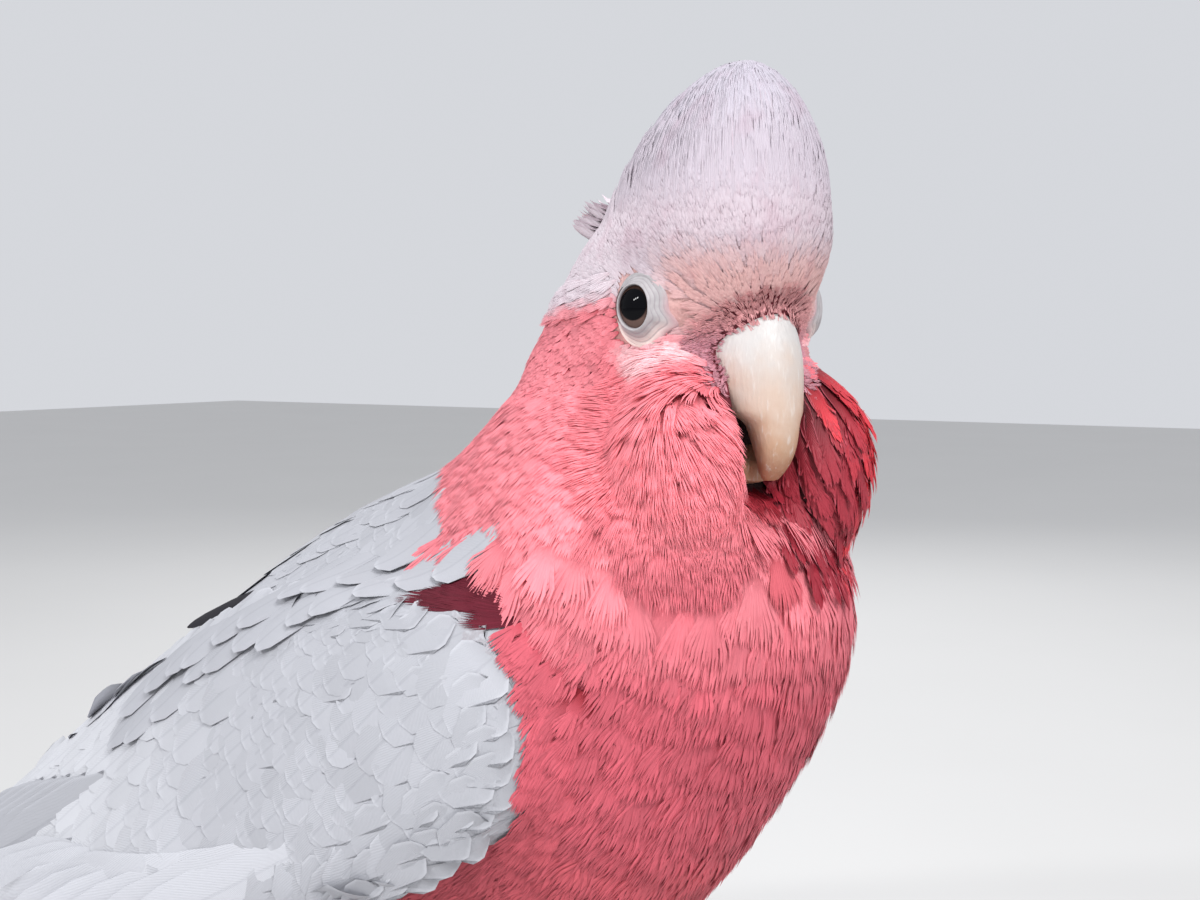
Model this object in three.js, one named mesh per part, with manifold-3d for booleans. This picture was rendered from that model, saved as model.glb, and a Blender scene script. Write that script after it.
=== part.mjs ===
// A life-size galah (a rose-breasted cockatoo) standing on a floor with its crest raised and its
// head turned a little to its right. Millimetres, +Z up. The bird faces -Y and its left is +X.
// Head, neck and trunk are modelled whole, as one loft, and parted with thin cuts.
import * as THREE from "three";
import { LoftGeometry } from "three/addons/geometries/LoftGeometry.js";
import { mergeVertices } from "three/addons/utils/BufferGeometryUtils.js";
import Module from "manifold-3d";

const wasm = await Module();
wasm.setup();

// ---- Driving dimensions ----------------------------------------------------------------------
const GAP = 0.3; // clearance between neighbouring solids
const HEAD = { forward: 63, up: 185 }; // the middle of the head, level with the eyes
const HEAD_TURN = -28; // degrees about the neck, towards the bird's right
const NECK_AXIS_FORWARD = 58;
const TURN_TILT = 0.35; // how much higher the turn sits at the nape than at the throat
const TURN_STARTS_UP = 143; // below this height nothing follows the head
const TURN_ENDS_UP = 176; // above it everything does

const EYE = { ahead: 3, side: 14.4, radius: 6.2 };
const EYE_TOE_IN = 15; // degrees each eye looks ahead of sideways
const LID_OPENING = 4.3; // radius of the eye that shows
const LID_RADIUS = 8.2; // bare skin round the eye
const LID_BACK = 0.4; // height of the ring's back above the eye's middle
const LID_RIM = 3.2; // and of its outer rim
const LID_LIP = { wide: 0.6, high: 0.3 }; // the fold round the opening

const CHEEK = { ahead: 9, side: 12.8, up: -27, size: [12, 15, 18.5] };

const THIGH = { path: [[-12, 20, 70], [1, 23, 52], [0, 23, 40]], radii: [16, 15, 11, 5.5] };
const TARSUS_RADII = [3.3, 3, 3.6];
const TARSUS_HIDDEN = 6; // how far it goes up inside the thigh
const ANKLE = { forward: -5, side: 22, up: 30 };
const FOOT = { forward: 6, side: 24, turn: 8 }; // turn: degrees outwards
const TOE_RADIUS = 3.1;
const TOE_TAPER = 0.28;
const TOE_PADS = { count: 3, swell: 0.07 };
const TOE_SINK = 0.9; // a toe's middle lies this share of its radius above the floor
const SOLE_RADIUS = 4.65;
const CLAW = { length: 8, up: 2.3, arch: 0.9, drop: 1.9, radii: [1.7, 1.6, 1.25, 0.85, 0.3] };
const TOES = [
  { name: "inner_front", turn: -15, length: 17 },
  { name: "outer_front", turn: 17, length: 23 },
  { name: "outer_back", turn: 157, length: 20 },
  { name: "inner_back", turn: -161, length: 12 },
];

// ---- Stations ----------------------------------------------------------------------------------
// Each body ring spans a point of the back and one of the breast, both [forward, up], with a
// half width. fuller moves the widest place towards the back (+) or the breast (-).
const BODY = [
  { back: [-98, 87], front: [-90, 73], half: 9, fuller: 0 },
  { back: [-82, 101], front: [-62, 57], half: 21, fuller: 0.05 },
  { back: [-60, 118.5], front: [-28, 47], half: 32, fuller: 0.08 },
  { back: [-38, 134], front: [6, 46], half: 37, fuller: 0.08 },
  { back: [-20, 145], front: [32, 53], half: 39, fuller: 0.05 },
  { back: [-8, 150.5], front: [50, 64], half: 39.5, fuller: 0 },
  { back: [-1, 153.5], front: [64.5, 79], half: 39.5, fuller: -0.05 },
  { back: [3.5, 155.5], front: [76, 96], half: 38.5, fuller: -0.08 },
  { back: [7, 157.5], front: [85.5, 114], half: 37, fuller: -0.06 },
  { back: [11, 160.5], front: [89, 130], half: 34, fuller: 0 },
  { back: [15.5, 165], front: [85.5, 144], half: 30.5, fuller: 0.08 },
  { back: [20.5, 171.5], front: [77, 156], half: 26.5, fuller: 0.18 },
  { back: [24, 180], front: [75, 169], half: 23, fuller: 0.2 },
  { back: [26, 189], front: [84, 184], half: 21, fuller: 0.1 },
  { back: [31.5, 196], front: [88.5, 194], half: 20.3, fuller: 0 },
  { back: [39.5, 202], front: [90, 202], half: 19.4, fuller: 0 },
  { back: [45, 209], front: [89, 209], half: 17.6, fuller: 0 },
  { back: [49, 214], front: [87.5, 215], half: 15.2, fuller: 0 },
  { back: [55.5, 220.5], front: [84.5, 221.5], half: 11.2, fuller: 0 },
  { back: [62, 225], front: [80, 226], half: 7, fuller: 0 },
  { back: [69.5, 228], front: [75.5, 228.4], half: 2.5, fuller: 0 },
];
const BODY_RINGS = 32;
const BODY_SIDES = 24;

// Planes that part the body, each through two points [forward, up] of its middle plane.
const CREST_CUT = [[38, 199.5], [90, 201]];
const NECK_CUT = [[20, 176], [74, 160]];
const BREAST_CUT = [[4, 158], [88, 126]];

// Rings of the folded wing: middle, half height, half thickness, and degrees its top leans in.
const WING = [
  { middle: [48.5, 36, 113], high: 4, thick: 2, lean: 8 },
  { middle: [46.5, 37.5, 113], high: 12.5, thick: 5, lean: 8 },
  { middle: [40, 39.5, 111.5], high: 20, thick: 7.5, lean: 9 },
  { middle: [29, 41, 109.5], high: 26.5, thick: 8.5, lean: 10 },
  { middle: [12, 41.5, 106], high: 31.5, thick: 8.5, lean: 14 },
  { middle: [-15, 40, 99], high: 35, thick: 8, lean: 20 },
  { middle: [-45, 36.5, 91], high: 34, thick: 6.5, lean: 27 },
  { middle: [-75, 29, 82], high: 29.5, thick: 4.6, lean: 34 },
  { middle: [-100, 22, 73], high: 24, thick: 3.4, lean: 40 },
  { middle: [-125, 16.5, 61.5], high: 17.5, thick: 2.5, lean: 46 },
  { middle: [-150, 12.5, 50.5], high: 10.5, thick: 1.8, lean: 51 },
  { middle: [-167, 10.5, 43.5], high: 4.5, thick: 1.2, lean: 54 },
  { middle: [-172, 10.2, 41.5], high: 1.5, thick: 0.8, lean: 55 },
];
const WING_RINGS = 18;
const WING_SIDES = 14;
const FLIGHT_CUT = { forward: -30, up: 95, slope: 42 }; // coverts end and flight feathers begin

// Rings of the tail: [forward, up] of its middle, half width and half thickness.
const TAIL = [
  { middle: [-90, 82], half: 9, thick: 5 },
  { middle: [-122, 60], half: 11.5, thick: 3.4 },
  { middle: [-158, 39.5], half: 15, thick: 2.4 },
  { middle: [-190, 24], half: 20.5, thick: 1.8 },
  { middle: [-210, 15], half: 21.5, thick: 1.2 },
  { middle: [-219, 11], half: 15, thick: 1 },
  { middle: [-222, 9.5], half: 5, thick: 0.8 },
];
const TAIL_RINGS = 11;
const TAIL_SIDES = 16;

// The bill, measured from the middle of the head: [ahead, up] of its ridge and of its edge.
const BILL_UPPER = [
  { back: [15, 1.5], front: [5, -10], half: 7.8, fuller: -0.2 },
  { back: [20, 0], front: [8.5, -13.5], half: 8.2, fuller: -0.25 },
  { back: [22.8, -6], front: [10.5, -17], half: 7.8, fuller: -0.2 },
  { back: [23.8, -12.5], front: [11.6, -20.5], half: 6.8, fuller: -0.15 },
  { back: [23, -18.5], front: [12, -23.2], half: 5.6, fuller: -0.1 },
  { back: [21, -23.8], front: [12.4, -26], half: 4.3, fuller: 0 },
  { back: [18.3, -27.6], front: [13, -28.3], half: 3.2, fuller: 0 },
  { back: [16.4, -29.6], front: [14, -29.7], half: 1.8, fuller: 0 },
];
const BILL_LOWER = [
  { back: [0, -20], front: [0, -30], half: 5 },
  { back: [5, -19.5], front: [4.5, -30.5], half: 6 },
  { back: [9, -22], front: [8, -30.2], half: 5.4 },
  { back: [11, -24.6], front: [10.6, -29.4], half: 4 },
];

// ---- Colours -----------------------------------------------------------------------------------
const FINISH = {
  rose: { color: 0xdd6a78, roughness: 0.85 },
  crown: { color: 0xdccfd6, roughness: 0.85 },
  grey: { color: 0xc9cbd2, roughness: 0.8 },
  slate: { color: 0x8d9097, roughness: 0.75 },
  horn: { color: 0xe2d6c8, roughness: 0.45 },
  eye: { color: 0x120c0c, roughness: 0.08 },
  lid: { color: 0xd2cccb, roughness: 0.7 },
  scale: { color: 0x77757a, roughness: 0.65 },
  claw: { color: 0x3a383b, roughness: 0.45 },
};

// ---- Small tools -------------------------------------------------------------------------------
const UP = new THREE.Vector3(0, 0, 1);
const at = (forward, left, up) => new THREE.Vector3(left, -forward, up);
const radians = THREE.MathUtils.degToRad;
const steps = (count) => Array.from({ length: count }, (_, i) => i);

function solidOf(geometry, matrix = new THREE.Matrix4()) {
  const bare = new THREE.BufferGeometry();
  bare.setAttribute("position", geometry.getAttribute("position").clone());
  bare.setIndex(geometry.getIndex());
  bare.applyMatrix4(matrix);
  const merged = mergeVertices(bare, 1e-4);
  return new wasm.Manifold(
    new wasm.Mesh({
      numProp: 3,
      vertProperties: merged.attributes.position.array,
      triVerts: new Uint32Array(merged.index.array),
    }),
  );
}

// The main body of a cut solid, without the crumbs that a cut can leave.
function mainBody(solid) {
  return solid.decompose().reduce((best, body) => (body.volume() > best.volume() ? body : best));
}

function geometryOf(solid) {
  const mesh = mainBody(solid).getMesh();
  const geometry = new THREE.BufferGeometry();
  geometry.setAttribute("position", new THREE.BufferAttribute(mesh.vertProperties, 3));
  geometry.setIndex(new THREE.BufferAttribute(mesh.triVerts, 1));
  geometry.computeVertexNormals();
  return geometry;
}

// A closed loft. Its rings are put in the order that turns its faces outwards.
function loftSolid(sections) {
  const [first, next] = sections;
  const middle = (ring) => ring.reduce((sum, p) => sum.add(p), new THREE.Vector3());
  const ahead = middle(next).sub(middle(first));
  const quarter = Math.floor(first.length / 4);
  const spokes = [0, quarter].map((i) => first[i].clone().multiplyScalar(first.length));
  const [one, two] = spokes.map((spoke) => spoke.sub(middle(first)));
  const forwards = one.cross(two).dot(ahead) > 0;
  const rings = forwards ? sections : sections.map((ring) => [...ring].reverse());
  return solidOf(new LoftGeometry(rings, { capStart: true, capEnd: true }));
}

// A smooth function of 0..1 through three numbers of every station.
function smooth(stations, read) {
  const curve = new THREE.CatmullRomCurve3(stations.map((s) => new THREE.Vector3(...read(s))));
  return (share) => curve.getPoint(share);
}

// An oval ring about a middle, with two half axes. fuller widens it towards the first axis.
function oval(middle, high, wide, count, fuller = 0) {
  return steps(count).map((i) => {
    const angle = (2 * Math.PI * i) / count;
    const out = Math.cos(angle) * (1 + fuller * Math.sin(angle));
    return middle.clone().addScaledVector(high, Math.sin(angle)).addScaledVector(wide, out);
  });
}

const longer = (vector, by) => vector.clone().setLength(vector.length() + by);

// A loft through rings that each span two points of a middle plane.
function spanLoft(stations, count, sides, place, grow = 0) {
  const back = smooth(stations, (s) => [...s.back, 0]);
  const front = smooth(stations, (s) => [...s.front, 0]);
  const width = smooth(stations, (s) => [s.half, s.fuller ?? 0, 0]);
  const rings = steps(count + 1).map((i) => {
    const [b, f, w] = [back, front, width].map((read) => read(i / count));
    const middle = at((b.x + f.x) / 2, 0, (b.y + f.y) / 2);
    const high = longer(at((b.x - f.x) / 2, 0, (b.y - f.y) / 2), grow);
    return oval(middle, high, at(0, w.x + grow, 0), sides, w.y).map(place);
  });
  return loftSolid(rings);
}

// A round-sectioned limb through points with radii.
function limb(points, radii, count, sides, grow = 0) {
  const curve = new THREE.CatmullRomCurve3(points);
  const radius = smooth(radii, (r) => [r, 0, 0]);
  const heading = points.at(-1).clone().sub(points[0]).normalize();
  const steep = Math.abs(heading.z) > 0.6;
  const square = steep ? at(1, 0, 0) : UP;
  const rings = steps(count + 1).map((i) => {
    const along = curve.getTangent(i / count);
    const across = new THREE.Vector3().crossVectors(along, square).normalize();
    const over = new THREE.Vector3().crossVectors(across, along);
    const size = radius(i / count).x + grow;
    return oval(curve.getPoint(i / count), over.setLength(size), across.setLength(size), sides);
  });
  return loftSolid(rings);
}

// Everything beyond a plane, with half a gap before it.
function beyond(point, normal) {
  const size = 600;
  const turn = new THREE.Quaternion().setFromUnitVectors(UP, normal.clone().normalize());
  const middle = UP.clone().multiplyScalar(size / 2 - GAP / 2).applyQuaternion(turn).add(point);
  const matrix = new THREE.Matrix4().compose(middle, turn, new THREE.Vector3(1, 1, 1));
  return solidOf(new THREE.BoxGeometry(size, size, size), matrix);
}

// ---- The turn of the head ----------------------------------------------------------------------
function turned(point, share) {
  const axis = at(NECK_AXIS_FORWARD, 0, 0);
  return point.clone().sub(axis).applyAxisAngle(UP, radians(HEAD_TURN) * share).add(axis);
}
function byHeight(p) {
  const up = p.z - TURN_TILT * (p.y + NECK_AXIS_FORWARD);
  return turned(p, THREE.MathUtils.smoothstep(up, TURN_STARTS_UP, TURN_ENDS_UP));
}
const onHead = (p) => turned(p, 1);
const fromHead = (p) => onHead(p.clone().add(at(HEAD.forward, 0, HEAD.up)));

// ---- Head, neck and trunk ----------------------------------------------------------------------
const whole = spanLoft(BODY, BODY_RINGS, BODY_SIDES, byHeight);
const wholeGrown = spanLoft(BODY, BODY_RINGS, BODY_SIDES, byHeight, GAP);

function planeThrough([first, second], place) {
  const [a, b] = [first, second].map(([forward, up]) => place(at(forward, 0, up)));
  const across = place(at(first[0], 10, first[1])).sub(a);
  const normal = new THREE.Vector3().crossVectors(b.clone().sub(a), across).normalize();
  return { point: a, normal: normal.z > 0 ? normal : normal.negate() };
}
const [crestCut, neckCut] = [CREST_CUT, NECK_CUT].map((line) => planeThrough(line, onHead));
const breastCut = planeThrough(BREAST_CUT, (p) => p);
const above = (solid, cut) => solid.subtract(beyond(cut.point, cut.normal.clone().negate()));
const below = (solid, cut) => solid.subtract(beyond(cut.point, cut.normal));

// ---- Bill --------------------------------------------------------------------------------------
const billUpper = (grow) => spanLoft(BILL_UPPER, 12, 14, fromHead, grow);
const billLower = (grow) => spanLoft(BILL_LOWER, 6, 12, fromHead, grow);

// ---- Eyes --------------------------------------------------------------------------------------
// An eye's own frame: +Y looks out of the head.
function eyeMatrix(side) {
  const middle = fromHead(at(EYE.ahead, side * EYE.side, 0));
  const toe = radians(EYE_TOE_IN);
  const out = onHead(at(Math.sin(toe), side * Math.cos(toe), 0).add(at(NECK_AXIS_FORWARD, 0, 0)));
  out.sub(at(NECK_AXIS_FORWARD, 0, 0));
  const turn = new THREE.Quaternion().setFromUnitVectors(new THREE.Vector3(0, 1, 0), out);
  return new THREE.Matrix4().compose(middle, turn, new THREE.Vector3(1, 1, 1));
}
const eyeball = (side, grow) =>
  solidOf(new THREE.SphereGeometry(EYE.radius + grow, 14, 8), eyeMatrix(side));

function eyeRing(side) {
  const bore = EYE.radius + GAP;
  const open = Math.asin(LID_OPENING / bore);
  const shut = Math.acos(LID_BACK / bore);
  const inner = steps(3).map((i) => {
    const angle = THREE.MathUtils.lerp(shut, open, i / 2);
    return new THREE.Vector2(bore * Math.sin(angle), bore * Math.cos(angle));
  });
  const lip = new THREE.Vector2(LID_OPENING + LID_LIP.wide, bore * Math.cos(open) + LID_LIP.high);
  const rim = new THREE.Vector2(LID_RADIUS, LID_RIM);
  const back = new THREE.Vector2(LID_RADIUS, LID_BACK);
  const outline = [...inner, lip, rim, back, inner[0]];
  const ring = solidOf(new THREE.LatheGeometry(outline, 16), eyeMatrix(side));
  if (ring.volume() > 0) return ring;
  return solidOf(new THREE.LatheGeometry([...outline].reverse(), 16), eyeMatrix(side));
}

function socket(side) {
  const depth = 20;
  const well = new THREE.CylinderGeometry(LID_RADIUS + GAP, LID_RADIUS + GAP, depth, 16);
  well.translate(0, LID_BACK - GAP + depth / 2, 0);
  return eyeball(side, GAP).add(solidOf(well, eyeMatrix(side)));
}

// ---- Cheeks ------------------------------------------------------------------------------------
function cheek(side, grow) {
  const [across, along, high] = CHEEK.size.map((size) => size + grow);
  const middle = fromHead(at(CHEEK.ahead, side * CHEEK.side, CHEEK.up));
  const turn = new THREE.Quaternion().setFromAxisAngle(UP, radians(HEAD_TURN));
  const scale = new THREE.Vector3(across, along, high);
  const matrix = new THREE.Matrix4().compose(middle, turn, scale);
  const round = solidOf(new THREE.SphereGeometry(1, 16, 10), matrix);
  const inwards = at(0, -side, 0).applyAxisAngle(UP, radians(HEAD_TURN));
  return round.subtract(beyond(fromHead(at(0, 0, 0)), inwards));
}

// ---- Wings -------------------------------------------------------------------------------------
function wing(side, grow = 0) {
  const middle = smooth(WING, (s) => s.middle);
  const shape = smooth(WING, (s) => [s.high, s.thick, s.lean]);
  const rings = steps(WING_RINGS + 1).map((i) => {
    const [m, s] = [middle, shape].map((read) => read(i / WING_RINGS));
    const lean = radians(s.z);
    const high = at(0, -side * Math.sin(lean), Math.cos(lean)).setLength(s.x + grow);
    const wide = at(0, side * Math.cos(lean), Math.sin(lean)).setLength(s.y + grow);
    return oval(at(m.x, side * m.y, m.z), high, wide, WING_SIDES);
  });
  return loftSolid(rings);
}
const flightNormal = at(-Math.cos(radians(FLIGHT_CUT.slope)), 0, -Math.sin(radians(FLIGHT_CUT.slope)));
const flightPoint = at(FLIGHT_CUT.forward, 0, FLIGHT_CUT.up);

// ---- Tail --------------------------------------------------------------------------------------
function tail() {
  const middle = smooth(TAIL, (s) => [...s.middle, 0]);
  const shape = smooth(TAIL, (s) => [s.half, s.thick, 0]);
  const rings = steps(TAIL_RINGS + 1).map((i) => {
    const [m, s] = [middle, shape].map((read) => read(i / TAIL_RINGS));
    return oval(at(m.x, 0, m.y), at(0, 0, s.y), at(0, s.x, 0), TAIL_SIDES);
  });
  return loftSolid(rings);
}

// ---- Legs --------------------------------------------------------------------------------------
const ankle = (side) => at(ANKLE.forward, side * ANKLE.side, ANKLE.up);
const footMiddle = (side) => at(FOOT.forward, side * FOOT.side, TOE_RADIUS + 1);

function thigh(side) {
  const path = THIGH.path.map(([forward, out, up]) => at(forward, side * out, up));
  return limb([...path, ankle(side)], THIGH.radii, 6, 12);
}
function shank(side, grow = 0) {
  const top = ankle(side).add(at(0, 0, TARSUS_HIDDEN));
  const halfway = ankle(side).lerp(footMiddle(side), 0.5);
  return limb([top, halfway, footMiddle(side)], TARSUS_RADII, 4, 8, grow);
}

const toeWay = (side, toe) => {
  const turn = radians(toe.turn + FOOT.turn) * side;
  return at(Math.cos(turn), Math.sin(turn), 0);
};
function toeRadius(share) {
  const pads = 1 + TOE_PADS.swell * Math.cos(share * TOE_PADS.count * 2 * Math.PI);
  return TOE_RADIUS * (1 - TOE_TAPER * share) * pads;
}
function toe(side, which) {
  const way = toeWay(side, which);
  const start = footMiddle(side).setZ(0);
  const shares = steps(7).map((i) => i / 6);
  const points = shares.map((share) =>
    start.clone().addScaledVector(way, which.length * share).setZ(toeRadius(share) * TOE_SINK),
  );
  return limb(points, shares.map(toeRadius), 5, 7);
}
function sole(side) {
  const middle = new THREE.Matrix4().setPosition(footMiddle(side));
  return solidOf(new THREE.SphereGeometry(SOLE_RADIUS, 10, 6), middle);
}
function claw(side, which) {
  const way = toeWay(side, which);
  const start = footMiddle(side).setZ(0).addScaledVector(way, which.length + GAP);
  const points = steps(5).map((i) => {
    const share = i / 4;
    const up = CLAW.up + CLAW.arch * Math.sin(Math.PI * share * 0.8) - CLAW.drop * share ** 2;
    return start.clone().addScaledVector(way, CLAW.length * share).setZ(up);
  });
  return limb(points, CLAW.radii, 4, 6);
}
const floor = beyond(at(0, 0, -GAP / 2), at(0, 0, -1));

// ---- The parts ---------------------------------------------------------------------------------
const group = new THREE.Group();
function add(name, solid, finish) {
  const material = new THREE.MeshStandardMaterial({ ...FINISH[finish], metalness: 0 });
  const mesh = new THREE.Mesh(geometryOf(solid), material);
  mesh.name = name;
  group.add(mesh);
}

let head = below(above(whole, neckCut), crestCut);
head = head.subtract(billUpper(GAP)).subtract(billLower(GAP));
head = head.subtract(socket(-1)).subtract(socket(1));
add("head", head, "rose");
add("crest", above(whole, crestCut), "crown");
const neck = below(above(whole, breastCut), neckCut);
add("neck", neck.subtract(billLower(GAP)).subtract(billUpper(GAP)), "rose");
add("trunk", below(whole, breastCut), "rose");
add("bill_upper", billUpper(0), "horn");
add("bill_lower", billLower(0).subtract(billUpper(GAP)), "horn");
let tailSolid = tail().subtract(wholeGrown);

for (const [word, side] of [["right", -1], ["left", 1]]) {
  add(`eye_${word}`, eyeball(side, 0), "eye");
  add(`eye_ring_${word}`, eyeRing(side), "lid");
  const bill = billUpper(GAP).add(billLower(GAP));
  add(`cheek_${word}`, cheek(side, 0).subtract(wholeGrown).subtract(bill), "rose");
  const folded = wing(side).subtract(wholeGrown);
  add(`wing_coverts_${word}`, folded.subtract(beyond(flightPoint, flightNormal)), "grey");
  const flight = folded.subtract(beyond(flightPoint, flightNormal.clone().negate()));
  add(`wing_flight_${word}`, flight, "slate");
  tailSolid = tailSolid.subtract(wing(side, GAP));
  add(`thigh_${word}`, thigh(side).subtract(wholeGrown).subtract(shank(side, GAP)), "rose");
  const leg = shank(side).add(sole(side));
  const foot = TOES.reduce((made, which) => made.add(toe(side, which)), leg);
  add(`foot_${word}`, foot.subtract(floor), "scale");
  for (const which of TOES) {
    add(`claw_${word}_${which.name}`, claw(side, which).subtract(floor), "claw");
  }
}
add("tail", tailSolid, "slate");

// The origin goes to the middle of the bird's bounding box, on the floor.
const middle = new THREE.Box3().setFromObject(group).getCenter(new THREE.Vector3());
for (const mesh of group.children) mesh.geometry.translate(-middle.x, -middle.y, 0);

export default group;
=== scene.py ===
"""A life-size galah, a rose-breasted cockatoo, as a still museum model.

Smooth skins lie inside the solids of the head and trunk and of each wing. Every feather over them
is a thin closed mesh: barbed plumes on the head and breast, stiff vanes on the back, wings and
tail. Lengths are in metres and the bird faces -Y. Sizes of feathers are in millimetres.
"""

import math

import bmesh
import bpy
import numpy as np
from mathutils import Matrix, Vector, noise
from mathutils.bvhtree import BVHTree


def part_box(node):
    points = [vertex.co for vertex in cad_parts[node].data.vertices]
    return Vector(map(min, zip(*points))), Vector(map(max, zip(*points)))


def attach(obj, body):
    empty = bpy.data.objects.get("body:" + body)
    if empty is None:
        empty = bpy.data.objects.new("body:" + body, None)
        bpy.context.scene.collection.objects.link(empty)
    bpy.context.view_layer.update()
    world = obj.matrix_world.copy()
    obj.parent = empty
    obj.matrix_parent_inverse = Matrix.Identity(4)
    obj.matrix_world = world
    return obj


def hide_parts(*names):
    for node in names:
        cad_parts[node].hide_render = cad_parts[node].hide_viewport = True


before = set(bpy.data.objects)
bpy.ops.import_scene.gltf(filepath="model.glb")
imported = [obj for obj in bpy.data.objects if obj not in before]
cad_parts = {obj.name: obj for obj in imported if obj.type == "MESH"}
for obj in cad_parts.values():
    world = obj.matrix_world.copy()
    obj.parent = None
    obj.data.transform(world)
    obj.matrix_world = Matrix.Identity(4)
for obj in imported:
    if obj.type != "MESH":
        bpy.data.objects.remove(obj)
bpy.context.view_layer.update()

MM = 0.001
SIDES = {"right": -1, "left": 1}
UP = np.array([0.0, 0.0, 1.0])


# ---- The bird's own axes -----------------------------------------------------------------------
def middle_of(node):
    low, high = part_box(node)
    return (np.array(low) + np.array(high)) / 2


def unit(vectors):
    size = np.linalg.norm(vectors, axis=-1, keepdims=True)
    return vectors / np.maximum(size, 1e-12)


class Axes:
    """A middle and three directions: ahead, left and up. Its own numbers are millimetres."""

    def __init__(self, middle, left):
        self.middle = np.array(middle, float)
        self.left = unit(np.array(left, float))
        self.ahead = np.cross(self.left, UP)
        self.turn = np.array([self.ahead, self.left, UP])

    def place(self, points):
        return self.middle + np.asarray(points, float) @ self.turn * MM

    def heading(self, directions):
        return unit(np.asarray(directions, float) @ self.turn)

    def read(self, places):
        return (places - self.middle) @ self.turn.T / MM


EYE_AHEAD = 3  # how far the eyes sit ahead of the middle of the head
eyes = {word: middle_of(f"eye_{word}") for word in SIDES}
head = Axes((0, 0, 0), eyes["left"] - eyes["right"])
head.middle = (eyes["left"] + eyes["right"]) / 2 - head.ahead * EYE_AHEAD * MM
TAIL_TIP_FORWARD = -222
body = Axes((0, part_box("tail")[1][1] + TAIL_TIP_FORWARD * MM, 0), (1, 0, 0))


# ---- Small maths -------------------------------------------------------------------------------
def ramp(low, high, x):
    """0 below low and 1 above high, with soft ends. low may be the larger."""
    share = np.clip((x - low) / (high - low), 0, 1)
    return share * share * (3 - 2 * share)


def blend(a, b, share):
    return a + (b - a) * np.asarray(share)[..., None]


def srgb(red, green, blue):
    """A colour named by its sRGB bytes, as linear light."""
    c = np.array([red, green, blue]) / 255
    return np.where(c < 0.04045, c / 12.92, ((c + 0.055) / 1.055) ** 2.4)


SPINE_KNOTS = np.linspace(0, 1, 4)


def knot_weights(share):
    """How much each of a spine's four points counts at a share of its length."""
    share = share[..., None]
    out = np.ones(share.shape[:-1] + (4,))
    for k, own in enumerate(SPINE_KNOTS):
        for other in np.delete(SPINE_KNOTS, k):
            out[..., k] *= (share[..., 0] - other) / (own - other)
    return out


# ---- Pieces and meshes -------------------------------------------------------------------------
def new_piece(name, data):
    """An object for a mesh, a lamp or a camera, linked into the scene."""
    piece = bpy.data.objects.new(name, data)
    bpy.context.collection.objects.link(piece)
    return piece


def finish(piece, slot, *stands_for):
    """Fixes a piece to the bird's one body and in place of the solids it stands for. slot is not used."""
    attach(piece, "root")
    if stands_for:
        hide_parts(*stands_for)


def finish_node(piece, node, material, slot):
    piece.data.materials.append(material)
    finish(piece, slot, node)


def keep_modifiers(piece):
    """Makes the shape that a piece's modifiers give it its own mesh."""
    seen = piece.evaluated_get(bpy.context.evaluated_depsgraph_get())
    mesh = bpy.data.meshes.new_from_object(seen)
    piece.modifiers.clear()
    piece.data = mesh


def shade_smooth(mesh):
    mesh.polygons.foreach_set("use_smooth", np.ones(len(mesh.polygons), bool))


def move_points(piece, places):
    piece.data.vertices.foreach_set("co", places.astype(np.float32).ravel())
    piece.data.update()


def add_values(mesh, **values):
    for key, value in values.items():
        mesh.attributes.new(key, "FLOAT", "POINT").data.foreach_set("value", value.astype(np.float32))


def add_colours(mesh, **colours):
    for key, rgb in colours.items():
        rgba = np.concatenate([rgb, np.ones((len(rgb), 1))], 1).astype(np.float32)
        mesh.attributes.new(key, "FLOAT_COLOR", "POINT").data.foreach_set("color", rgba.ravel())


# ---- The lie of the feathers -------------------------------------------------------------------
# Each row is a place and the way feathers point there, both [ahead, left, up] in millimetres from
# the middle of the head. The right side mirrors the left.
HEAD_LIE = [
    [(20, 0, 4), (-0.1, 0, 1)],
    [(16, 9, 4), (-0.3, 0.3, 0.9)],
    [(24, 0, 15), (-0.05, 0, 1)],
    [(25, 0, 25), (-0.2, 0, 1)],
    [(17, 0, 38), (-0.7, 0, 0.7)],
    [(18, 12, 14), (-0.25, 0.05, 1)],
    [(17, 10, 26), (-0.3, -0.3, 0.9)],
    [(4, 19, 14), (-0.3, -0.05, 0.95)],
    [(2, 15, 26), (0.0, -0.4, 0.9)],
    [(-16, 13, 16), (0.3, -0.1, 0.95)],
    [(-14, 0, 27), (0.6, 0, 0.75)],
    [(0, 0, 38), (0.8, 0, 0.5)],
    [(-25, 0, 17), (0.35, 0, 0.9)],
    [(-34, 0, 4), (-0.3, 0, -0.95)],
    [(-28, 12, 4), (-0.5, 0.1, -0.8)],
    [(-9, 19, 8), (-0.9, 0, 0.35)],
    [(-14, 19, 1), (-0.9, 0, -0.35)],
    [(4, 18, 10), (-0.75, 0, 0.65)],
    [(13, 12, -2), (-0.85, 0.4, 0.05)],
    [(5, 17, -9), (-0.9, 0.2, -0.4)],
    [(-10, 19, -9), (-0.75, 0.1, -0.65)],
    [(13, 14, -16), (-0.55, 0.5, -0.65)],
    [(18, 16, -24), (0.1, 0.25, -0.95)],
    [(8, 24, -26), (-0.25, 0.1, -0.95)],
    [(17, 16, -36), (0.25, 0.1, -0.95)],
    [(8, 20, -42), (-0.05, -0.1, -1)],
    [(-3, 20, -30), (-0.45, 0, -0.85)],
    [(-22, 10, -14), (-0.4, 0, -0.9)],
    [(6, 0, -34), (0, 0, -1)],
]
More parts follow.
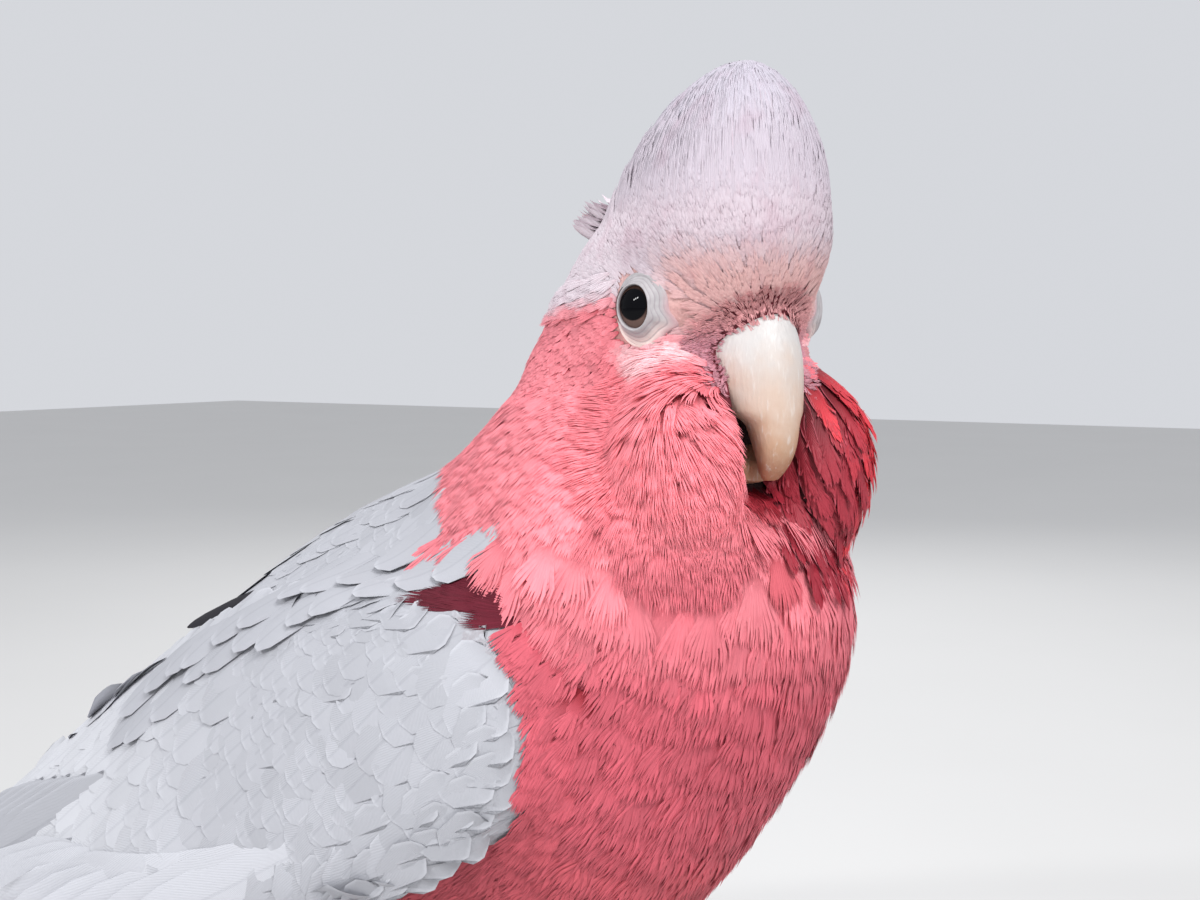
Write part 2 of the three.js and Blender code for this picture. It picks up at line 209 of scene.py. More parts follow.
# The same on the trunk and neck, [forward, left, up] from the trunk's own origin on the floor.
BODY_LIE = [
    [(22, 0, 175), (-0.3, 0, -0.95)],
    [(13, 0, 163), (-0.6, 0, -0.8)],
    [(-5, 0, 152), (-0.85, 0, -0.5)],
    [(-50, 0, 125), (-0.82, 0, -0.57)],
    [(-90, 0, 95), (-0.85, 0, -0.55)],
    [(40, 28, 166), (-0.3, 0.15, -0.93)],
    [(24, 30, 152), (-0.55, 0.15, -0.8)],
    [(8, 34, 143), (-0.75, 0.1, -0.65)],
    [(-30, 33, 118), (-0.82, 0, -0.57)],
    [(76, 0, 160), (0.25, 0, -0.97)],
    [(90, 0, 135), (0, 0, -1)],
    [(84, 0, 105), (-0.3, 0, -0.95)],
    [(62, 0, 75), (-0.7, 0, -0.7)],
    [(20, 0, 50), (-0.97, 0, -0.25)],
    [(-30, 0, 48), (-0.98, 0, 0.2)],
    [(-75, 0, 62), (-0.85, 0, 0.35)],
    [(64, 28, 150), (-0.2, 0.1, -0.97)],
    [(76, 28, 125), (-0.4, 0.1, -0.9)],
    [(52, 38, 128), (-0.62, 0.1, -0.78)],
    [(50, 38, 100), (-0.68, 0, -0.73)],
    [(20, 34, 80), (-0.85, 0, -0.5)],
    [(-30, 28, 70), (-0.95, 0, -0.2)],
    [(5, 26, 55), (-0.3, 0.1, -0.95)],
    [(0, 24, 42), (-0.2, 0, -1)],
]


def lie_rows(axes, rows):
    for place, way in rows:
        for side in (-1, 1) if place[1] else (1,):
            flip = np.array([1, side, 1])
            yield axes.place(np.array(place) * flip), axes.heading(np.array(way) * flip)


LIE_PLACES, LIE_WAYS = (
    np.array(part) for part in zip(*lie_rows(head, HEAD_LIE), *lie_rows(body, BODY_LIE))
)


WHORL = np.array([12, 17, -15])  # where the cheek feathers spread from, on the left side
WHORL_REACH = 24


def lie(places):
    """The way the feathers point at each place, blended from the nearest rows."""
    apart = np.linalg.norm(places[:, None] - LIE_PLACES[None], axis=2) / MM
    weight = 1 / (apart**2 + 4) ** 2
    ways = unit(weight @ LIE_WAYS)
    h = head.read(places)
    mirror = np.ones_like(h)
    mirror[h[:, 1] < 0, 1] = -1
    fan = h - WHORL * mirror
    reach = np.linalg.norm(fan, axis=1)
    share = ramp(WHORL_REACH, WHORL_REACH - 8, reach) * ramp(-12, -17, h[:, 2])
    return unit(blend(ways, head.heading(fan), share))


# ---- Colours of the plumage --------------------------------------------------------------------
COLOUR = {
    "crest_tip": srgb(188, 183, 194),
    "crest": srgb(189, 180, 190),
    "crown": srgb(196, 182, 190),
    "forehead": srgb(212, 166, 160),
    "brow": srgb(214, 202, 209),
    "under_eye": srgb(248, 200, 204),
    "cheek": srgb(244, 138, 148),
    "neck": srgb(223, 128, 137),
    "breast": srgb(197, 90, 103),
    "belly": srgb(192, 86, 96),
    # painted shade: the dark red of the shadow under the bill, between the cheeks
    "throat": srgb(164, 40, 54),
    "mantle": srgb(171, 172, 178),
    "rump": srgb(204, 205, 210),
    "vent": srgb(188, 188, 194),
    # dark crimson feather bases, made dark enough to stand also as painted shade in the gaps between
    # feathers
    "rose_root": srgb(122, 14, 26),
    "pale_root": srgb(196, 166, 172),
    "lores": srgb(206, 144, 146),
    "bristle_root": srgb(104, 26, 40),
    "bristle_tip": srgb(210, 148, 150),
    "gape": srgb(194, 138, 150),
    "grey_root": srgb(164, 165, 171),
    "neck_root": srgb(196, 62, 78),
    # painted shade: the crimson reds darken the left cheek's inner face, most where it faces across the
    # bill
    "crimson": srgb(140, 8, 34),
    "crimson_edge": srgb(206, 30, 46),
    "crimson_shade": srgb(72, 4, 16),
    "mouth": srgb(40, 9, 12),
    "coral": srgb(250, 128, 120),
    "black": srgb(34, 33, 38),
    # painted shade: pink feathers in the dark gap under the scapulars
    "maroon": srgb(96, 24, 40),
    "secondary": srgb(192, 193, 199),
    "flight": srgb(150, 151, 158),
    "flight_dark": srgb(112, 113, 120),
}


def hood_line(ahead):
    """Height of the pale hood's lower edge, which drops to the gape in front of the eye."""
    return 1 + 0.12 * (ahead + 5) - 11 * ramp(5, 12, ahead)


HOOD_LEAST_HIGH = 165  # the pale hood ends above this height over the floor


def cloak_edge(beside):
    """How far forward the grey cloak reaches, further out at the sides of the back."""
    return 5 + 24 * (np.abs(beside) / 36) ** 1.3


def plumage(places):
    """The tip and root colours of the feathers at each place."""
    ahead, left, up = head.read(places).T
    forward, beside, high = body.read(places).T
    out = np.abs(left)
    tip = np.tile(COLOUR["neck"], (len(places), 1))
    root = np.tile(COLOUR["rose_root"], (len(places), 1))
    tip = blend(tip, COLOUR["breast"], ramp(-30, -58, up))
    tip = blend(tip, COLOUR["belly"], ramp(112, 82, high))
    tip = blend(tip, COLOUR["cheek"], ramp(-42, -34, up) * ramp(-8, -2, ahead))
    cheeks = ramp(-46, -40, up) * ramp(-8, -2, ahead) * ramp(-12, -18, up)
    root = blend(root, COLOUR["neck_root"], (1 - cheeks) * ramp(-75, -60, up) * (high > 100))
    under_eye = np.hypot((ahead - 5) * 0.6, up + 8.8)
    tip = blend(tip, COLOUR["under_eye"], ramp(5.5, 2.5, under_eye) * (out > 8))
    root = blend(root, COLOUR["cheek"], ramp(5.5, 2.5, under_eye) * (out > 8))
    # Painted shade: feathers just under the bill's tip turn dark red where the shadow below the bill
    # falls.
    throat_shade_reach = np.sqrt(((ahead - 14) / 8) ** 2 + (out / 7) ** 2 + ((up + 33) / 7) ** 2)
    tip = blend(tip, COLOUR["throat"], ramp(1.0, 0.5, throat_shade_reach))
    hood_edge = hood_line(ahead)
    hood = ramp(hood_edge - 2.0, hood_edge + 2.0, up) * (high > HOOD_LEAST_HIGH)
    pale = blend(COLOUR["brow"] + 0 * tip, COLOUR["crown"], ramp(-6, 8, ahead))
    pale = blend(pale, COLOUR["crest"], ramp(14, 24, up))
    pale = blend(pale, COLOUR["crest_tip"], ramp(24, 38, up))
    pale = blend(pale, COLOUR["forehead"], ramp(13, 4, up) * ramp(6, 13, ahead) * 0.85)
    pale = blend(pale, COLOUR["lores"], ramp(3, -5, up) * ramp(8, 13, ahead) * 0.6)
    tip = blend(tip, pale, hood)
    root = blend(root, blend(pale, COLOUR["pale_root"], np.full(len(pale), 0.5)), hood)
    back_edge = cloak_edge(beside)
    upper_half = ramp(-6, 6, high - 124 - 0.8 * forward)
    grey = ramp(back_edge + 1.2, back_edge - 1.2, forward) * upper_half
    grey = np.maximum(grey, ramp(-38, -52, forward))
    greys = blend(COLOUR["mantle"] + 0 * tip, COLOUR["rump"], ramp(-15, -85, forward))
    greys = blend(greys, COLOUR["vent"], ramp(6, -6, high - 84 - 0.25 * (forward + 60)))
    tip = blend(tip, greys, grey)
    root = blend(root, COLOUR["grey_root"], grey)
    return tip, root


# ---- The skin ----------------------------------------------------------------------------------
SEAM = 0.25 * MM  # each solid swells by this so that the thin cuts between them close
COAT_DEPTH = {"face": 1.0, "crest": 1.8, "cheek": 2.2, "neck": 2.0, "breast": 2.8, "wing": 1.4}


def coat_depth(places):
    """How far the skin lies under the tips of the feathers."""
    ahead, _, up = head.read(places).T
    depth = np.full(len(places), float(COAT_DEPTH["breast"]))
    parts = {
        "neck": ramp(-60, -40, up),
        "cheek": ramp(-40, -30, up) * ramp(-6, 0, ahead),
        "face": ramp(-14, -8, up),
        "crest": ramp(10, 18, up),
    }
    for part, share in parts.items():
        depth = depth + (COAT_DEPTH[part] - depth) * share
    return depth * MM


def swollen_copy(nodes, swell):
    """The nodes' solids in one mesh, each a little fuller."""
    bm = bmesh.new()
    for node in nodes:
        part = bmesh.new()
        part.from_mesh(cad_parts[node].data)
        bmesh.ops.remove_doubles(part, verts=part.verts, dist=1e-6)
        part.normal_update()
        for vert in part.verts:
            vert.co += vert.normal * swell
        grown = bpy.data.meshes.new(node)
        part.to_mesh(grown)
        part.free()
        bm.from_mesh(grown)
        bpy.data.meshes.remove(grown)
    mesh = bpy.data.meshes.new("flesh")
    bm.to_mesh(mesh)
    bm.free()
    return mesh


def smooth_body(name, nodes, voxel, passes, swell=SEAM):
    """One closed smooth body round some nodes."""
    piece = new_piece(name, swollen_copy(nodes, swell))
    remesh = piece.modifiers.new("remesh", "REMESH")
    remesh.mode = "VOXEL"
    remesh.voxel_size = voxel
    soften = piece.modifiers.new("soften", "SMOOTH")
    soften.factor = 0.5
    soften.iterations = passes
    keep_modifiers(piece)
    return piece


def read_mesh(mesh):
    """Vertices, normals and faces of a mesh as arrays."""
    places = np.empty(len(mesh.vertices) * 3, np.float32)
    mesh.vertices.foreach_get("co", places)
    normals = np.empty(len(mesh.vertices) * 3, np.float32)
    mesh.vertex_normals.foreach_get("vector", normals)
    mesh.calc_loop_triangles()
    faces = np.empty(len(mesh.loop_triangles) * 3, np.int32)
    mesh.loop_triangles.foreach_get("vertices", faces)
    return places.reshape(-1, 3).astype(float), normals.reshape(-1, 3).astype(float), faces.reshape(-1, 3)


def draw_in(piece, depth):
    """Moves a skin inwards by the coat's depth, but by no more than a third of its thickness."""
    places, normals, faces = read_mesh(piece.data)
    tree = BVHTree.FromPolygons(places.tolist(), faces.tolist())
    thick = np.full(len(places), 1.0)
    for i, (place, normal) in enumerate(zip(places, normals)):
        hit = tree.ray_cast(Vector(place - normal * 2e-5), Vector(-normal), 0.05)
        if hit[3] is not None:
            thick[i] = hit[3]
    move_points(piece, places - normals * np.minimum(depth(places), thick / 3)[:, None])


class Surface:
    """A skin that feathers are rooted in and laid over."""

    def __init__(self, piece):
        self.places, self.normals, self.faces = read_mesh(piece.data)
        self.tree = BVHTree.FromPolygons(self.places.tolist(), self.faces.tolist())
        corners = self.places[self.faces]
        cross = np.cross(corners[:, 1] - corners[:, 0], corners[:, 2] - corners[:, 0])
        self.areas = np.linalg.norm(cross, axis=1) / 2

    def nearest(self, places):
        found = [self.tree.find_nearest(Vector(p)) for p in places]
        on = np.array([f[0] for f in found])
        faces = np.array([f[2] for f in found])
        return on, unit(self.normals[self.faces[faces]].mean(axis=1))

    def hit(self, starts, ways):
        """Where rays meet the surface and which rays those are. The rest miss it."""
        found = [self.tree.ray_cast(Vector(s), Vector(w)) for s, w in zip(starts, ways)]
        kept = [i for i, f in enumerate(found) if f[0] is not None]
        return np.array([found[i][0] for i in kept]), np.array(kept)

    def holds(self, places):
        """True for places inside the surface."""
        found = [self.tree.ray_cast(Vector(p), Vector((0, 0, 1))) for p in places]
        return np.array([f[0] is not None and f[1][2] > 0 for f in found])

    def scatter(self, rng, where, gap):
        """Random places inside a region, each at least a gap from the rest."""
        centres = self.places[self.faces].mean(axis=1)
        chosen = self.areas * where(centres)
        count = int(chosen.sum() / gap**2 * 9)
        faces = rng.choice(len(self.faces), count, p=chosen / chosen.sum())
        shares = rng.dirichlet((1, 1, 1), count)
        return thinned((self.places[self.faces[faces]] * shares[:, :, None]).sum(axis=1), gap)


def thinned(places, gap):
    """Leaves out each place that is closer than a gap to an earlier one."""
    grid = {}
    kept = []
    keys = np.floor(places / gap).astype(int)
    around = [(i, j, k) for i in (-1, 0, 1) for j in (-1, 0, 1) for k in (-1, 0, 1)]
    least = gap * gap
    for index, (key, place) in enumerate(zip(keys.tolist(), places.tolist())):
        near = (grid.get((key[0] + i, key[1] + j, key[2] + k), ()) for i, j, k in around)
        if all(
            (p[0] - place[0]) ** 2 + (p[1] - place[1]) ** 2 + (p[2] - place[2]) ** 2 > least
            for cell_places in near
            for p in cell_places
        ):
            grid.setdefault(tuple(key), []).append(place)
            kept.append(index)
    return places[kept]


# ---- Spines ------------------------------------------------------------------------------------
class Spines:
    """The middle lines of many feathers, four points and normals each."""

    def __init__(self, points, normals):
        self.points = points
        self.normals = normals

    def only(self, kept):
        return Spines(self.points[kept], self.normals[kept])

    def at(self, share):
        return np.einsum("nvk,nkc->nvc", knot_weights(share), self.points)

    def frame_at(self, share):
        step = 0.01
        heading = unit(self.at(share + step) - self.at(share - step))
        normal = unit(np.einsum("nvk,nkc->nvc", knot_weights(np.clip(share, 0, 1)), self.normals))
        across = unit(np.cross(heading, normal))
        return across, unit(np.cross(across, heading))

    def lay(self, along, across, lift):
        """Turns places on the feathers, in metres but for along, into places in the world."""
        side, over = self.frame_at(along)
        return self.at(along) + side * across[..., None] + over * lift[..., None]


def tangent(ways, normals):
    return unit(ways - normals * (ways * normals).sum(axis=1, keepdims=True))


def trace(surface, roots, ways, lengths, follow=None, cling=1.0):
    """Spines that start at roots and run on straight or follow a lie.

    At cling 1 they keep to the surface, and at 0 they stand off it where it curves away.
    """
    place, normal = surface.nearest(roots)
    way = tangent(ways, normal)
    points, normals = [place], [normal]
    for _ in SPINE_KNOTS[1:]:
        ahead = place + way * (lengths / 3)[:, None]
        on, normal = surface.nearest(ahead)
        under = ((ahead - on) * normal).sum(axis=1, keepdims=True) < 0
        place = np.where(under, on, ahead + (on - ahead) * cling)
        flat = tangent(way if follow is None else way * 0.5 + follow(place) * 0.5, normal)
        way = unit(way + (flat - way) * np.where(under, 1.0, cling))
        points.append(place)
        normals.append(normal)
    return Spines(np.stack(points, 1), np.stack(normals, 1))


def steadiness(spines):
    """How well each feather keeps its way: 1 when flat, and lower the more it turns over an edge."""
    return (spines.normals[:, 0] * spines.normals[:, -1]).sum(axis=1)


# ---- Feather meshes ----------------------------------------------------------------------------
class Coat:
    """Collects closed feathers, then makes one mesh of them."""

    def __init__(self):
        self.parts = []

    def add(self, places, faces, **values):
        """places is (feather, vertex, 3); faces index one feather; values are per vertex."""
        self.parts.append((places, faces, values))

    def make(self, name, surface_map, material):
        mesh = bpy.data.meshes.new(name)
        starts = np.cumsum([0] + [p.shape[0] * p.shape[1] for p, _, _ in self.parts])
        places = np.concatenate([p.reshape(-1, 3) for p, _, _ in self.parts])
        corners = np.concatenate(
            [
                (f[None] + (np.arange(len(p)) * p.shape[1])[:, None, None] + start).reshape(-1, 3)
                for (p, f, _), start in zip(self.parts, starts)
            ]
        )
        mesh.vertices.add(len(places))
        mesh.vertices.foreach_set("co", places.astype(np.float32).ravel())
        mesh.loops.add(corners.size)
        mesh.loops.foreach_set("vertex_index", corners.astype(np.int32).ravel())
        mesh.polygons.add(len(corners))
        mesh.polygons.foreach_set("loop_start", np.arange(0, corners.size, 3, dtype=np.int32))
        mesh.update(calc_edges=True)
        shade_smooth(mesh)
        ends = np.empty(len(mesh.edges) * 2, np.int32)
        mesh.edges.foreach_get("vertices", ends)
        sharp = (self.flat("rim")[ends] > 0).reshape(-1, 2).all(axis=1)
        mesh.attributes.new("sharp_edge", "BOOLEAN", "EDGE").data.foreach_set("value", sharp)
        add_values(mesh, **{key: self.flat(key) for key in ("along", "across", "chance")})
        add_colours(mesh, **{key: self.flat(key).reshape(-1, 3) for key in ("tint", "root")})
        spots = surface_map(self.flat("home").reshape(-1, 3))
        uv = spots + PATCH * np.stack([self.flat("across") / 2, self.flat("along") - 0.5], 1)
        layer = mesh.uv_layers.new(name="OFBake")
        layer.uv.foreach_set("vector", uv[corners.ravel()].astype(np.float32).ravel())
        mesh.materials.append(material)
        return new_piece(name, mesh)

    def flat(self, key):
        """One value array over all the vertices."""
        out = []
        for places, _, values in self.parts:
            value = np.asarray(values[key], np.float32)
            shape = places.shape[:2] + value.shape[2:]
            out.append(np.broadcast_to(value, shape).ravel())
        return np.concatenate(out).astype(np.float32)


PATCH = 0.003  # the width of one feather's patch on the map
MAP_EDGE = 0.01


def around_body(places):
    """An unwrap of the skin: turns about the bird's long axis, and height along that axis."""
    b = body.read(places)
    forward, beside, high = b.T
    long_way = unit(np.array([0.62, 0.0, 0.78]))
    turn = np.arctan2(beside, forward - 20 - 0.45 * (high - 110))
    return filled(np.stack([turn, b @ long_way], 1))


def filled(spot):
    """Places on a flat unwrap, scaled to fill the map."""
    low, high = spot.min(0), spot.max(0)
    return MAP_EDGE + (1 - 2 * MAP_EDGE) * (spot - low) / np.maximum(high - low, 1e-6)


def beside_wing(places):
    """An unwrap of a wing or of the tail: its length and height as laid out flat."""
    forward, beside, high = body.read(places).T
    return filled(np.stack([forward, high + 0.5 * beside], 1))


def blade_faces(rings):
    """Faces of one three-sided blade through some rings, ending in a point."""
    faces = [(0, 2, 1)]
    for ring in range(rings - 1):
        for side in range(3):
            a, b = ring * 3 + side, ring * 3 + (side + 1) % 3
            faces += [(a, b, b + 3), (a, b + 3, a + 3)]
    last = (rings - 1) * 3
    faces += [(last + side, last + (side + 1) % 3, last + 3) for side in range(3)]
    return np.array(faces)


def blades(coat, spines, along, across, height, width, ridge, **values):
    """Closed blades that lie on feathers.

    along, across and height are (feather, blade, ring or point); along is a share of the feather
    and the rest are metres, as is width, (feather, blade, ring). ridge is how high the middle of
    a blade stands over its edges, as a share of half its width.
    """
    n, count, rings = width.shape
    rail = np.stack([-width, 0 * width, width], 3)
    crown = np.stack([0 * width, width * ridge, 0 * width], 3)

    def corners(value, spread=0.0):
        ringed = (value[:, :, :rings, None] + spread + np.zeros(3)).reshape(n, count, -1)
        return np.concatenate([ringed, value[:, :, rings:]], 2).reshape(n, -1)

    places = spines.lay(corners(along), corners(across, rail), corners(height, crown))
    per = rings * 3 + 1
    faces = np.concatenate([blade_faces(rings) + b * per for b in range(count)])
    chance = np.repeat(values.pop("chance"), per, axis=1)
    half = np.abs(across).max(axis=(1, 2))[:, None]
    values.update(along=corners(along), across=corners(across) / half, chance=chance, rim=np.ones((1, 1)))
    coat.add(places, faces, **values)


def fringe(
    coat, rng, spines, half, lift, proud=0.0, start=0.1,
    barbs=10, rings=2, fill=1.3, loose=0.4, fan=0.8, ragged=0.03, ridge=0.45, **values,
):
    """A fan of barbs from near a feather's middle line to its rounded outline.

    fan is how far round the feather's end the outermost barbs' tips stand, in radians, ragged how
    uneven their ends are, and proud how high they stand over the feather's web.
    """
    n = len(half)
    width = half[:, None] * fill / barbs * rng.uniform(0.8, 1.2, (n, barbs))
    half, lift = half[:, None, None], lift[:, None, None]
    post = ((np.arange(barbs) + 0.5) / barbs * 2 - 1)[None] + rng.normal(0, 0.12 * loose, (n, barbs))
    angle = post * fan
    end_across = np.sin(angle) / math.sin(fan)
    end_along = 1 - 0.42 * (1 - np.cos(angle)) - np.abs(rng.normal(0, ragged, (n, barbs)))
    from_along = start + 0.3 * (np.cos(angle) - 0.5) + rng.normal(0, 0.02, (n, barbs))
    share = np.append(np.linspace(0, 0.72, rings), 1.0) if rings > 1 else np.array([0.0, 1.0])
    bow = 1 - (1 - share) ** 1.6
    across = end_across[..., None] * (start * 0.8 + (1 - start * 0.8) * bow) * half
    along = from_along[..., None] + (end_along - from_along)[..., None] * share
    rise = rng.normal(0, 0.1 * loose, (n, barbs, 1)) * half * share
    height = lift * np.maximum(along, 0) ** 1.2 + rise + proud
    ring_width = width[..., None] * (np.array([0.8, 1.0, 0.8])[:rings] if rings > 1 else np.ones(1))
    chance = values.pop("chance") + rng.normal(0, 0.12, (n, barbs))
    blades(coat, spines, along, across, height, ring_width, ridge, chance=chance, **values)


def soft_feathers(
    coat, rng, spines, half, lift, web=0.72, columns=2, rows=4, thick=0.12 * MM, chance=None, tint=None,
    root=None, home=None, comb=0.45, **form,
):
    """Body feathers: a thin closed web whose end breaks up into barbs from comb of its length on."""
    values = dict(chance=chance, tint=tint, root=root, home=home)
    web_form = dict(columns=columns, rows=rows, camber=0.1, thick=thick, ragged=0.0, roundness=0.6)
    webs(coat, rng, spines, half * 0.9, lift, reach=web, **web_form, **values)
    fringe(coat, rng, spines, half, lift, proud=thick * 0.3, start=comb, **form, **values)


def one_colour(rng, spines, tint, root):
    """The values of feathers that all have one tip colour and one root colour."""
    count = len(spines.points)
    tint, root = (np.tile(colour, (count, 1, 1)) for colour in (tint, root))
    return dict(chance=rng.random((count, 1)), tint=tint, root=root, home=spines.points[:, :1])


def vane_grid(columns, rows):
    """Shares across and along, which face each vertex is on, and faces of one thin closed vane."""
    across = np.linspace(-1, 1, columns + 1)
    along = np.linspace(0, 1, rows + 1)
    top = [(u, v, 1) for v in along for u in across]
    index = {(c, r, 1): r * (columns + 1) + c for r in range(rows + 1) for c in range(columns + 1)}
    under = []
    for r in range(rows + 1):
        for c in range(columns + 1):
            if 0 < r < rows and 0 < c < columns:
                index[c, r, -1] = len(top) + len(under)
                under.append((across[c], along[r], -1))
            else:
                index[c, r, -1] = index[c, r, 1]
    faces = []
    for r in range(rows):
        for c in range(columns):
            for layer in (1, -1):
                a, b, d, e = (index[c + i, r + j, layer] for i, j in ((0, 0), (1, 0), (1, 1), (0, 1)))
                faces += [(a, b, d), (a, d, e)] if layer > 0 else [(a, d, b), (a, e, d)]
    grid = np.array(top + under)
    return grid[:, 0], grid[:, 1], grid[:, 2], np.array(faces)


def webs(
    coat, rng, spines, half, lift, chance=None, reach=1.0,
    columns=6, rows=6, camber=0.06, thick=0.2 * MM, roundness=0.5, neck=0.5, ragged=0.01, **values,
):
    """Thin closed blades with a rounded end, the whole of a stiff feather or the web of a soft one."""
    u, v, layer, faces = vane_grid(columns, rows)
    n = len(half)
    rim = np.round((u + 1) / 2 * columns).astype(int)
    nick = rng.normal(0, ragged, (n, columns + 1))[:, rim] * v**3
    end = 1 - roundness * (1 - np.sqrt(np.maximum(0, 1 - (0.985 * u) ** 2)))
    along = (v * end + nick) * reach
    belly = neck + (1 - neck) * ramp(0, 0.45, v)
    across = u * belly * half[:, None]
    inside = (1 - u**2) * (1 - (2 * v - 1) ** 8)
    height = lift[:, None] * np.maximum(along, 0) ** 1.2 - camber * half[:, None] * u**2 * belly
    height = height + layer * thick / 2 * inside
    places = spines.lay(along, across, height)
    edge = ((np.abs(u) > 0.999) | (v < 0.001) | (v > 0.999))[None]
    chance = np.tile(chance, (1, len(u)))
    coat.add(places, faces, along=along, across=u[None], chance=chance, rim=edge, **values)


# ---- Where each tract lies ---------------------------------------------------------------------
def hood_side(places):
    """Above 0 on the pale hood, in millimetres."""
    ahead, _, up = head.read(places).T
    return np.where(body.read(places)[:, 2] > HOOD_LEAST_HIGH, up - hood_line(ahead), -9)


def on_cheek(places):
    """True in the round bulge of either cheek."""
    ahead, left, up = head.read(places).T
    side = np.abs(left) - 12.8
    return np.sqrt(((ahead - 9) / 15.5) ** 2 + (side / 12.5) ** 2 + ((up + 27) / 19) ** 2) < 1.04


def is_grey(places, margin=0):
    """True where the grey cloak starts, or up to a margin in millimetres in front of it."""
    forward, beside, high = body.read(places).T
    upper = (forward < cloak_edge(beside) + margin) & (high > 124 + 0.8 * forward)
    return upper | (forward < -45)


def between(low, x, high):
    return (x > low) & (x <= high)


def head_up(places):
    return head.read(places)[:, 2]


def on_crest(places):
    return head_up(places) > 12


def on_crown(places):
    return (hood_side(places) > -1) & (head_up(places) <= 20) & (clearance(places) > 1.8 * MM)


def on_face(places):
    return between(-17, head_up(places), 40) & (hood_side(places) <= 1) & ~on_cheek(places)


def on_neck(places):
    return between(-50, head_up(places), -14) & ~on_cheek(places) & ~is_grey(places, 4)


def on_thigh(places):
    forward, beside, high = body.read(places).T
    return (high < 46) & (np.hypot(forward, np.abs(beside) - 23) < 19)


def on_breast(places):
    high = body.read(places)[:, 2]
    return (high > 86) & (head_up(places) <= -36) & ~on_cheek(places) & ~is_grey(places, 4)


def on_belly(places):
    return (body.read(places)[:, 2] <= 97) & ~is_grey(places) & ~on_thigh(places)


def on_vent(places):
    forward, _, high = body.read(places).T
    return (forward < -45) & (high < 84 + 0.25 * (forward + 60))


# ---- Materials ---------------------------------------------------------------------------------
class Wires:
    """Adds nodes to a node tree. Values may be numbers or the outputs of other nodes."""

    def __init__(self, tree):
        self.tree = tree

    def node(self, kind, **settings):
        made = self.tree.nodes.new(kind)
        for key, value in settings.items():
            setattr(made, key, value)
        return made

    def put(self, socket, value):
        if isinstance(value, bpy.types.NodeSocket):
            self.tree.links.new(value, socket)
        else:
            socket.default_value = value

    def sum(self, operation, *values, clamp=False):
        made = self.node("ShaderNodeMath", operation=operation, use_clamp=clamp)
        for socket, value in zip(made.inputs, values):
            self.put(socket, value)
        return made.outputs[0]

    def ramp(self, low, high, value):
        made = self.node("ShaderNodeMapRange", interpolation_type="SMOOTHSTEP")
        for key, item in (("Value", value), ("From Min", low), ("From Max", high)):
            self.put(made.inputs[key], item)
        return made.outputs[0]

    def mix(self, share, a, b, kind="MIX"):
        made = self.node("ShaderNodeMix", data_type="RGBA", blend_type=kind, clamp_factor=True)
        for index, item in ((0, share), (6, a), (7, b)):
            self.put(made.inputs[index], item)
        return made.outputs[2]

    def times(self, colour, by):
        return self.mix(1.0, colour, by, "MULTIPLY")

    def value_of(self, name):
        return self.node("ShaderNodeAttribute", attribute_name=name).outputs["Fac"]

    def colour_of(self, name):
        return self.node("ShaderNodeAttribute", attribute_name=name).outputs["Color"]

    def noise(self, scale, detail=2.0, vector=None):
        made = self.node("ShaderNodeTexNoise")
        made.inputs["Scale"].default_value = scale
        made.inputs["Detail"].default_value = detail
        if vector is not None:
            self.put(made.inputs["Vector"], vector)
        return made.outputs["Fac"]

    def place(self):
        return self.node("ShaderNodeTexCoord").outputs["Object"]

    def streaks(self, scale, detail, stretch):
        """Noise drawn out along the axes whose stretch is under 1."""
        drawn_out = self.node("ShaderNodeVectorMath", operation="MULTIPLY")
        self.put(drawn_out.inputs[0], self.place())
        drawn_out.inputs[1].default_value = stretch
        return self.noise(scale, detail, drawn_out.outputs[0])

    def use(self, group, **values):
        made = self.node("ShaderNodeGroup", node_tree=group)
        for key, value in values.items():
            self.put(made.inputs[key.replace("_", " ")], value)
        return made.outputs

    def bump(self, height, distance, strength=1.0):
        made = self.node("ShaderNodeBump")
        made.inputs["Distance"].default_value = distance
        made.inputs["Strength"].default_value = strength
        self.put(made.inputs["Height"], height)
        return made.outputs[0]


def shader_group(name, inputs, outputs):
    """A node group with named sockets, and the wires to fill it with."""
    tree = bpy.data.node_groups.new(name, "ShaderNodeTree")
    for key, kind in inputs.items():
        tree.interface.new_socket(key, in_out="INPUT", socket_type="NodeSocket" + kind)
    for key, kind in outputs.items():
        tree.interface.new_socket(key, in_out="OUTPUT", socket_type="NodeSocket" + kind)
    wires = Wires(tree)
    return tree, wires, wires.node("NodeGroupInput").outputs, wires.node("NodeGroupOutput").inputs


def plumage_group():
    """Colour of one feather: root to tip, and a little lighter or darker than its neighbours."""
    inputs = {"Tip": "Color", "Root": "Color", "Along": "Float", "Chance": "Float"}
    inputs.update({"Root Reach": "Float", "Variation": "Float"})
    tree, w, given, made = shader_group("feather colour", inputs, {"Color": "Color"})
    share = w.ramp(0.0, given["Root Reach"], given["Along"])
    colour = w.mix(share, given["Root"], given["Tip"])
    swing = w.sum("MULTIPLY", w.sum("SUBTRACT", given["Chance"], 0.5), given["Variation"])
    light = w.node("ShaderNodeCombineColor")
    for socket in light.inputs:
        w.put(socket, w.sum("ADD", swing, 1.0))
    w.put(made["Color"], w.times(colour, light.outputs[0]))
    return tree


